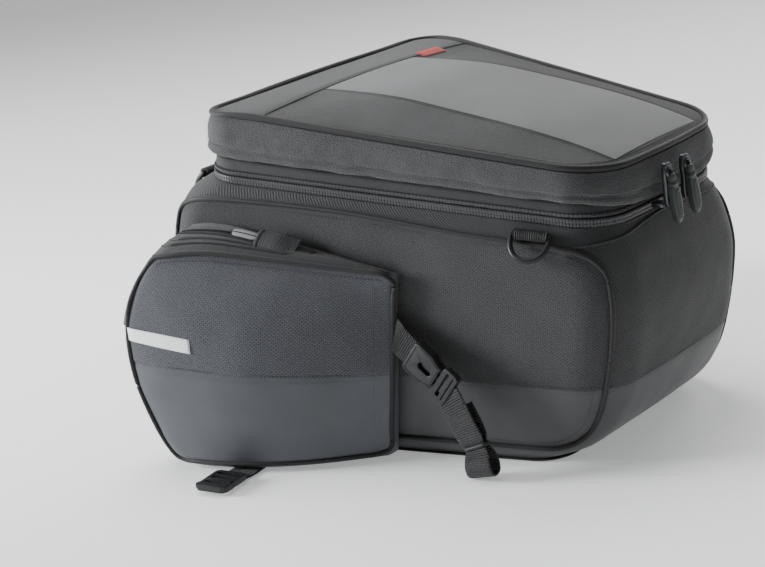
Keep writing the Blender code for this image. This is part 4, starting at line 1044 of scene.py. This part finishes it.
def make_pocket_shell():
    heights = [4.0, 5.2, 6.8, 8.8, 11.0, 13.5, 16.5, 20.0] + [23.0 + 2.9 * k for k in range(47)]
    heights = [h for h in heights if h <= POCKET_TOP] + [POCKET_TOP]
    rows = [pocket_ring(station_at(POCKET, h), -0.8 * bell(h - POCKET_SEAM, 1.6),
                        SLOT_RISE * smooth((h - 132.0) / 27.0)) for h in heights]
    middle = sum(rows[0], Vector()) / len(rows[0])
    floor = [[middle.lerp(p, k / 7.0) for p in rows[0]] for k in range(1, 7)]
    roof = []
    for k in range(1, 11):
        t = k / 10.0
        crown = Z_AXIS * 2.6 * sin(pi * t)
        roof.append([p.lerp(q, t) + crown * (1.0 if is_outer(i) else 0.3)
                     for i, (p, q) in enumerate(zip(rows[-1], slot_ring()))])
    levels = [0.0] * len(floor) + heights + [POCKET_TOP] * len(roof)

    def pick(r, i):
        if levels[r] < POCKET_SEAM:
            return "coated"
        return "pocket" if levels[r] < POCKET_TOP and is_outer(i) else "collar"

    form = Form()
    form.grid(floor + rows + roof, "pocket", closed=True, pick=pick)
    pocket = build("right_pocket", form, angle=55.0, wall=2.0)
    ripple(pocket, 1.5, 62.0, 2.2, lambda p: smooth(p.z / 26.0) * smooth((176.0 - p.z) / 20.0))
    for shell in place_pair(pocket, "bag", "woven", "{}_pocket_shell", "{}_pocket_coated_band"):
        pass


def make_pocket_trim():
    cord = Form()
    turn = OUTER_LAST - CORNER + 2
    levels = (12.0, 30.0, 60.0, 90.0, 120.0, 140.0, 152.0)
    rear_edge = [outer_line(z, 2, 2, 0.6)[0] for z in levels]
    front_edge = [outer_line(z, turn, turn, 0.3)[0] for z in levels]
    crown = outer_line(POCKET_TOP, OUTER_FIRST + 1, turn - 1, 0.4, 0.8)
    below = outer_line(7.0, OUTER_FIRST + 1, turn - 1, 0.3)
    path = even(rear_edge + crown[::4] + front_edge[::-1] + below[::4][::-1], 2.6, closed=True)
    cord.tube(path, 2.2, "piping", closed=True)
    second = outer_line(POCKET_TOP, OUTER_FIRST, OUTER_LAST - CORNER // 2, -3.6, 1.6)
    cord.tube(even(second[::4] + [second[-1]], 2.6), 1.3, "piping", sides=8)
    cord.stitches(outer_line(POCKET_TOP - 4.4, OUTER_FIRST + 1, OUTER_LAST - CORNER // 2 - 1, 0.2))
    place_pair(build("right_pocket_cord", cord), "bag", "trim", "{}_pocket_piping")

    seam = Form()
    seam.stitches(outer_line(POCKET_SEAM + 2.4, OUTER_FIRST, OUTER_LAST - 3, 0.15))
    rear = OUTER_FIRST + 2
    seam.stitches([outer_line(z, rear, rear, 0.15)[0] for z in (12.0, 40.0, 75.0, 110.0, 150.0)])
    place_pair(build("right_pocket_stitches", seam), "bag", "trim")

    stripe = Form()
    rows = []
    for z in spread(96.0, 107.0, 7):
        plan = pocket_loop(station_at(POCKET, z))
        row = []
        for index in spread(OUTER_FIRST + OUTER * 0.74, OUTER_FIRST + OUTER + CORNER * 0.55, 31):
            low = int(index)
            y = plan[low].lerp(plan[low + 1], index - low).y
            level = station_at(POCKET, z + 0.07 * (y - 216.0))
            loop = pocket_loop(level, 0.9)
            p = loop[low].lerp(loop[low + 1], index - low)
            row.append(Vector((p.x, p.y, pocket_height(level, p.y))))
        rows.append(row)
    stripe.grid(rows, "white")
    place_pair(build("right_stripe", stripe, wall=0.6), "bag", "white", "{}_reflective_stripe")


def make_pocket_zip():
    form = Form()
    whole_top, slot = pocket_ring(POCKET[-1], 0.0, SLOT_RISE), slot_ring()
    for share, size, look in ((0.02, 1.5, "tape"), (0.36, 1.3, "piping"), (0.60, 1.1, "piping")):
        rise = Z_AXIS * (2.6 * sin(pi * (1.0 - share)) + 0.1)
        line = [slot[i].lerp(whole_top[i], share) + rise
                for i in range(OUTER_FIRST + OUTER // 3, OUTER_LAST + 1)]
        form.tube(even(line[::3] + [line[-1]], 2.5),
                  lambda t: size * (1.0 - 0.85 * smooth((t - 0.86) / 0.14)), look, sides=8)
    centre = even([slot_line(y) for y in spread(SLOT_REAR_Y - 3.0, SLOT_FRONT_Y - 1.0, 13)], 2.0)
    form.grid([[p + Vector((shift, 0.0, 0.9 - 0.10 * abs(shift))) for p in centre]
               for shift in (-4.4, -3.6, -1.2, 0.0, 1.2, 3.6, 4.4)], "tape", turned=True)
    for p in centre[:-1]:
        for shift in (-0.9, 0.9):
            form.tube([p + Vector((shift + reach, 0.0, 1.3)) for reach in (-0.8, 0.8)], 0.62,
                      "teeth", sides=5)
    place_pair(build("right_pocket_coil", form), "bag", "zip", "{}_pocket_zip")

    ahead = (slot_line(SLIDER_Y + 20.0) - slot_line(SLIDER_Y - 10.0)).normalized()
    across = Vector((1.0, 0.0, -0.55)).normalized()
    up = across.cross(ahead).normalized()
    side = up.cross(ahead)
    centre = slot_line(SLIDER_Y) + up * 3.9
    base = plate("runner_body", [rounded_box(11.0, 7.0, 2.4)], 1.7,
                 frame_at(centre - up * 0.6, ahead, across), look="metal")
    bridge = plate("runner_bridge", [rounded_box(8.0, 2.4, 1.0)], 1.6,
                   frame_at(centre + up * 0.8, ahead, across), bevel=0.4, look="metal")
    place_pair(join("right_pocket_runner", base, bridge), "{}_pocket_slider", "metal",
               "{}_pocket_slider")

    pull = Form()
    pivot = centre + ahead * 7.2
    section = [(-3.4, -0.5), (-3.1, -0.9), (3.1, -0.9), (3.4, -0.5), (3.4, 0.6), (2.9, 0.95),
               (0.6, 0.9), (0.0, 0.35), (-0.6, 0.9), (-2.9, 0.95), (-3.4, 0.6)]
    rows = []
    for t in spread(0.0, 1.0, 13):
        middle = pivot + ahead * (-1.4 + 22.0 * t) + up * 0.5 * sin(pi * t)
        ends = 1.0 - 0.25 * (2.0 * t - 1.0) ** 8
        rows.append([middle + (side * x + up * z) * ends for x, z in section])
    pull.solid(rows, "pull_cloth", turned=True)
    pull.tube([pivot + ahead * (-1.0 + 20.8 * t) + up * (0.75 + 0.5 * sin(pi * t))
               for t in spread(0.0, 1.0, 9)], 0.45, "dark", sides=6)
    place_pair(build("right_pocket_tab_pull", pull), "{}_pocket_tab", "grey_tab",
               "{}_pocket_puller")

    hood = Form()
    rows = []
    for k in range(31):
        t = k / 30.0
        rear = slot_line(HOOD_Y - 18.0 + HOOD_L * t)
        tall = 4.6 * (1.0 - 0.85 * (1.0 - smooth(t / 0.6)))
        wave = 1.0 + 0.02 * cos(2.0 * pi * k / 3.0)
        rows.append([rear - side * cos(a) * 8.4 + up * (1.0 + sin(a) ** 0.7 * tall * wave)
                     for a in (pi * j / 14.0 for j in range(15))])
    hood.grid(rows, "hood")
    hood.tube(rows[-1], 0.8, "collar", sides=8)
    place_pair(build("right_hood", hood, wall=1.0), "bag", "woven", "{}_pocket_zip_hood")


# ---------------------------------------- sliders and pullers
def make_slider(label, x, face):
    half = [(3.8, -20.0), (5.0, -16.0), (4.6, -2.0), (5.6, 4.0), (5.4, 10.0), (3.2, 13.8)]
    tall = [(-3.8, -20.0)] + half + [(-a, b) for a, b in half[:0:-1]]
    hole = [(1.7 * cos(a), 8.2 - 1.7 * sin(a)) for a in circle(16)]
    stem_z, foot_z = 214.0, 195.0
    stem = plate("stem", [tall, hole], 3.6,
                 frame_at(Vector((x, face - 1.2, stem_z)), X_AXIS, Z_AXIS), 0.6, 3, "metal")
    foot = plate("foot", [rounded_box(11.0, 10.0, 2.6)], 3.2,
                 frame_at(Vector((x, face + 6.8, foot_z)), Y_AXIS, -X_AXIS), 0.7, look="metal")
    neck = plate("neck", [rounded_box(10.0, 4.0, 1.2)], 6.0,
                 frame_at(Vector((x, face + 5.0, foot_z)), Y_AXIS, Z_AXIS), look="metal")
    link = Form()
    middle = Vector((x, face - 3.4, 220.6))
    link.tube([middle + Vector((3.4 * cos(a), 0.6 * sin(a), 3.6 * sin(a)))
               for a in circle(20)], 1.25, "metal", sides=8, closed=True, up=Y_AXIS)
    place(join(label + "_runner", stem, foot, neck, build("bow", link)), label + "_zip_slider",
          "metal", label + "_main_slider")


def make_puller(label, pivot, swing):
    """A moulded puller that hangs from its pivot, swung a little to the side."""
    hang = Vector((sin(swing), 0.0, -cos(swing)))
    side = Vector((cos(swing), 0.0, sin(swing)))
    sections = [(-2.8, 1.2, 1.0), (-2.2, 2.3, 1.7), (-1.0, 3.0, 2.1), (1.5, 3.1, 2.2),
                (3.2, 2.9, 2.1), (4.2, 3.7, 2.6), (5.2, 4.1, 2.8), (6.4, 4.0, 2.75),
                (7.2, 3.5, 2.4), (8.2, 3.9, 2.5), (10.5, 4.4, 2.7), (15.0, 4.7, 2.8),
                (21.0, 4.8, 2.8), (27.0, 4.6, 2.8), (32.0, 4.1, 2.6), (35.5, 3.3, 2.2),
                (37.4, 2.3, 1.7), (38.3, 1.0, 0.9)]
    form = Form()
    rows = []
    for s, wide, thick in sections:
        row = []
        for a in circle(24):
            u = squared(cos(a), 0.55) * wide * 1.15
            v = squared(sin(a), 0.55) * thick * 1.28
            groove = 0.90 if abs(sin(a)) < 0.12 else 1.0
            row.append(pivot + hang * s + side * u * groove - Y_AXIS * v)
        rows.append(row)
    form.solid(rows, "puller")
    pads = []
    for s, wide in ((10.5, 2.6), (13.0, 3.5), (20.0, 3.9), (28.0, 3.6), (33.5, 2.6)):
        pads.append([pivot + hang * s + side * wide * k
                     - Y_AXIS * (3.65 + 0.55 * (1.0 - k * k) ** 0.5)
                     for k in (-1.0, -0.8, -0.4, 0.0, 0.4, 0.8, 1.0)])
    form.grid(pads, "puller", turned=True)
    for rib in range(9):
        spot = pivot + hang * (13.0 + 2.1 * rib) - Y_AXIS * 4.15
        form.tube([spot - side * 1.5, spot + side * 1.5], 0.42, "puller", sides=6)
    place(build(label + "_pull", form, angle=50.0), label + "_zip_puller", "puller",
          label + "_main_puller")


def make_sliders():
    face = FLAP.rear_y - FLAP.belly - 10.0
    for label, x, swing in (("left", -28.0, 0.17), ("right", -1.0, 0.20)):
        make_slider(label, x, face)
        make_puller(label, Vector((x, face - 5.2, 217.0)), swing)


# ---------------------------------------- rings, straps and buckles
def d_ring(end, centre, axis, drop):
    """A D-ring and its webbing loop, at the rear or front end."""
    axis, drop = axis.normalized(), drop.normalized()
    away = axis.cross(drop).normalized()
    half_ring, depth = 15.3, 21.0
    path = [centre + axis * x for x in (-half_ring, -5.5, 5.5)]
    for k in range(24):
        angle = pi * k / 24.0
        path.append(centre + axis * cos(angle) * half_ring + drop * sin(angle) ** 0.7 * depth)
    bar = Form()
    bar.tube(path, 2.2, "plastic", sides=12, closed=True, up=axis.cross(drop))
    bow = build("right_" + end + "_ring", bar)

    def loop_ring(x, radius):
        return [centre + axis * x + (drop * cos(a) + away * sin(a)) * radius
                for a in circle(24)]

    half, outer_r, inner_r = 13.2, 4.2, 2.8
    rows = [loop_ring(x, outer_r + 0.16 * cos(0.5 * pi * k))
            for k, x in enumerate(spread(-half, half, 65))]
    form = Form()
    form.grid(rows, "webbing", closed=True)
    form.grid([rows[0], loop_ring(-half, inner_r), loop_ring(half, inner_r), rows[-1]], "webbing",
              closed=True, turned=True)
    loop = build("right_" + end + "_loop", form)
    node_name = "{}_" + end + "_d_ring"
    place_pair(bow, node_name, "plastic", node_name)
    place_pair(loop, "bag", "webbing", node_name + "_loop")


def make_rings():
    shoulder = station_at(BODY, 200.0)
    slope = (half_width(shoulder, -106.0) - half_width(shoulder, -126.0)) / 20.0
    for end, axis, drop in (
            ("rear", Vector((slope, 1.0, shoulder.tilt)), Vector((0.66, -0.08, -0.75))),
            ("front", X_AXIS, Vector((0.0, 0.72, -0.70)))):
        low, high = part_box("right_" + end + "_d_ring_loop")[:2]
        d_ring(end, (low + high) / 2.0 / MM, axis, drop)


def make_rear_strap():
    down = Vector((0.0, -cos(STRAP_FALL), -sin(STRAP_FALL)))
    across = Vector((0.0, -sin(STRAP_FALL), cos(STRAP_FALL)))
    start = Vector((151.5, -13.0, 105.5))
    upper = Form()
    path = [start - down * 12.5 - X_AXIS * 4.5, start - down * 6.0 - X_AXIS * 2.4, start,
            start + down * 13.0]
    strap(upper, path, [across + X_AXIS * 0.05, across, across, across])
    place_pair(build("right_upper_strap", upper), "bag", "webbing", "{}_strap_upper_webbing")

    def flat(at, lift=0.0):
        return frame_at(start + down * at + X_AXIS * lift, down, across)

    female = 27.0
    lower_edge = [(-14.5, -12.8), (-11.0, -14.4), (4.0, -14.4), (9.0, -12.4), (12.0, -11.2),
                  (14.6, -11.6)]
    hood = lower_edge + [(x, -y) for x, y in reversed(lower_edge)]
    window = shifted(rounded_box(13.0, 5.4, 2.6), 3.0)
    parts = [plate("face", [hood, window], 2.6, flat(female, lift), 0.8, 3) for lift in (3.1, -3.1)]
    parts += [plate("wall", [shifted(rounded_box(17.0, 2.4, 1.0), -5.0, edge)], 5.0, flat(female))
              for edge in (-13.2, 13.2)]
    parts.append(plate("bar", [shifted(rounded_box(4.0, 25.0, 1.6), -10.5)], 6.0, flat(female),
                       0.6))
    rim = Form()
    middle = start + down * (female + 0.3) + X_AXIS * 4.3
    rim.tube([middle + (down * x + across * y) * 0.86 for x, y in hood], 0.55, "plastic", sides=6,
             closed=True, up=X_AXIS)
    parts.append(build("rim", rim))
    place_pair(join("right_clip_body", *parts), "bag", "plastic", "{}_buckle_female")

    male = 50.5
    slots = [shifted(rounded_box(3.4, 23.5, 1.2), -1.6), shifted(rounded_box(2.6, 23.5, 1.0), 4.2)]
    parts = [plate("male_bar", [rounded_box(15.0, 29.0, 3.0)] + slots, 5.6, flat(male), 1.0, 3)]
    arm = [(-6.0, 6.0), (-6.0, 9.4), (-14.0, 9.9), (-19.0, 12.9), (-23.0, 12.4), (-27.0, 8.6),
           (-26.0, 6.4), (-18.0, 6.6)]
    for prong in ([(x, -y) for x, y in reversed(arm)], arm):
        parts.append(plate("arm", [prong], 3.4, flat(male + 1.0), 0.6))
    parts.append(plate("guide", [shifted(rounded_box(20.0, 3.0, 1.3), -16.0)], 3.0,
                       flat(male + 1.0)))
    parts.append(plate("lip", [shifted(rounded_box(3.2, 29.0, 1.4), 6.0)], 3.6, flat(male, 2.2),
                       0.7, 3))
    place_pair(join("right_clip_tongue", *parts), "{}_buckle", "plastic", "{}_buckle_male")

    # Each point of the folded lower end: its y, its z, the webbing's turn and how far it bulges.
    lower = Form()
    run = [(-53.4, 70.0, 41.0, 0.6), (-56.4, 66.6, 46.0, 2.2), (-62.0, 57.0, 58.0, 3.4),
           (-68.4, 44.5, 63.0, 3.6), (-73.4, 33.5, 66.0, 2.6), (-76.0, 27.5, 68.0, 0.4),
           (-78.4, 21.0, 71.0, 3.4), (-80.0, 15.0, 74.0, 6.6), (-80.8, 9.5, 76.0, 6.4)]
    outer = [Vector((151.5 + bulge, y, z)) for y, z, _, bulge in run]
    inner = [Vector((148.9 - 0.5 * bulge, y, z)) for y, z, _, bulge in run]
    tip = [Vector((156.2, -81.2, 5.6)), Vector((151.6, -81.5, 3.6)), Vector((146.8, -81.2, 5.6))]
    lean = [Vector((0.0, -sin(radians(a)), cos(radians(a))))
            for _, _, a, _ in run]
    strap(lower, outer + tip + inner[:1:-1], lean + [lean[-1]] * 3 + lean[:1:-1],
          waist=lambda p: 1.0 - 0.24 * bell(p.z - 27.5, 4.5))
    wrap = [Vector((150.4 + squared(sin(a), 0.6) * 3.6, -76.0, 27.5))
            + lean[5] * squared(cos(a), 0.4) * 10.6 for a in circle(24)]
    lower.tube(wrap, 1.5, "piping", sides=8, closed=True, up=Vector((0.0, -lean[5].z, lean[5].y)))
    place_pair(build("right_lower_strap", lower), "{}_buckle", "webbing", "{}_strap_lower_webbing")


def make_front_strap():
    path = [Vector((x, 118.0 - 0.12 * (x - 160.0), 1.2))
            for x in (160.0, 175.0, 190.0, 205.0, 218.0)]
    path += [Vector((229.0, 109.9, 2.6)), Vector((241.0, 108.5, 4.6))]
    form = Form()
    strap(form, path, [Y_AXIS] * len(path))
    place_pair(build("right_front_webbing", form), "bag", "webbing", "{}_front_strap")

    def flat(lift=0.0):
        return frame_at(Vector((246.0, 108.0, 5.2 + lift)), Vector((1.0, -0.12, 0.0)), Y_AXIS)

    holes = [shifted(rounded_box(width, 22.0, 1.2), x) for width, x in
             ((6.0, 8.0), (4.2, -3.0), (3.4, -11.0))]
    parts = [plate("lock", [rounded_box(33.0, 29.0, 4.5)] + holes, 4.4, flat(), 1.2, 3),
             plate("tab", [shifted(rounded_box(7.0, 27.0, 2.6), 14.2)], 3.4, flat(1.9), 1.0, 3),
             plate("tooth_bar", [shifted(rounded_box(3.0, 25.0, 1.2), 2.2)], 3.6, flat(1.6), 0.7)]
    place_pair(join("right_ladder_lock", *parts), "bag", "plastic", "{}_front_buckle")


# ---------------------------------------- stage, lights and camera
def make_stage():
    # A cove: the floor runs back, curves up and becomes the wall behind the bag.
    rear, wall, bend_r, height = -7000.0, 3500.0, 900.0, 6000.0
    profile = [(rear, 0.0)]
    for k in range(13):
        a = pi / 2.0 * k / 12.0
        profile.append((wall - bend_r * (1.0 - sin(a)), bend_r * (1.0 - cos(a))))
    profile.append((wall, height))
    ahead, side = Vector((0.774, 0.633, 0.0)), Vector((0.633, -0.774, 0.0))
    paper = Form()
    paper.grid([[ahead * d + side * s + Z_AXIS * (z - 0.05) for s in spread(-6000.0, 6000.0, 5)]
                for d, z in profile], "stage", turned=True)
    made, tree, shader = start_material("studio_paper", 0.9)
    where = node(tree, "ShaderNodeTexCoord").outputs["Object"]
    apart = node(tree, "ShaderNodeVectorMath", {0: where, 1: tuple(ahead)},
                 operation="DOT_PRODUCT").outputs["Value"]
    far = node(tree, "ShaderNodeMapRange", {"Value": apart, "From Min": -0.9,
                                            "From Max": 2.2}).outputs["Result"]
    # Painted shade: the paper's colour gets darker the farther back it lies.
    tree.links.new(ramp(tree, far, [(0.0, 0.97), (0.45, 0.95), (1.0, 0.58)]),
                   shader.inputs["Base Color"])
    # Painted light: the paper glows, most in a band just behind the bag, to lift the floor where
    # the bag shades it.
    shader.inputs["Emission Color"].default_value = (0.98, 0.99, 1.0, 1.0)
    tree.links.new(ramp(tree, far, [(0.0, 0.16), (0.40, 0.40), (0.62, 0.12), (0.85, 0.0)]),
                   shader.inputs["Emission Strength"])
    LOOKS["stage"] = made
    build("studio_floor", paper, angle=80.0)
    world = bpy.data.worlds.new("studio")
    bpy.context.scene.world = world
    world.use_nodes = True
    sky = world.node_tree.nodes["Background"]
    sky.inputs["Color"].default_value = (0.86, 0.88, 0.90, 1.0)
    sky.inputs["Strength"].default_value = 0.22
    goal = Vector((0.0, 0.0, 0.12))
    for name, spot, size, power, colour in (
            ("softbox_top", (0.4, 0.9, 2.5), 2.2, 66.0, (1.0, 0.995, 0.985)),
            ("softbox_left", (-1.6, 2.3, 0.9), 1.1, 135.0, (0.96, 0.98, 1.0)),
            ("softbox_right", (2.4, 0.1, 1.2), 1.3, 26.0, (1.0, 1.0, 1.0))):
        light = bpy.data.lights.new(name, "AREA")
        light.shape = "DISK"
        light.size = size
        light.energy = power
        light.color = colour
        lamp = add(name, light)
        lamp.location = spot
        lamp.rotation_euler = (Vector(spot) - goal).to_track_quat("Z", "Y").to_euler()


def make_camera():
    heading, fall, roll = radians(50.7), radians(16.882), radians(-6.579)
    forward = Vector((sin(heading) * cos(fall), cos(heading) * cos(fall),
                      -sin(fall)))
    level = Vector((cos(heading), -sin(heading), 0.0))
    top = level.cross(forward)
    right = level * cos(roll) + top * sin(roll)
    up = top * cos(roll) - level * sin(roll)
    data = bpy.data.cameras.new("camera")
    data.lens = 94.12
    data.sensor_width = 36.0
    camera = add("camera", data)
    camera.matrix_world = (Matrix.Translation(Vector((-1.29753, -0.94007, 0.60149)))
                           @ Matrix((right, up, -forward)).transposed().to_4x4())
    bpy.context.scene.camera = camera


make_camera()
make_stage()
make_shell()
make_side_piping()
make_collar()
make_lid()
make_lid_panels()
make_pocket_shell()
make_pocket_trim()
make_pocket_zip()
make_sliders()
make_rings()
make_rear_strap()
make_front_strap()
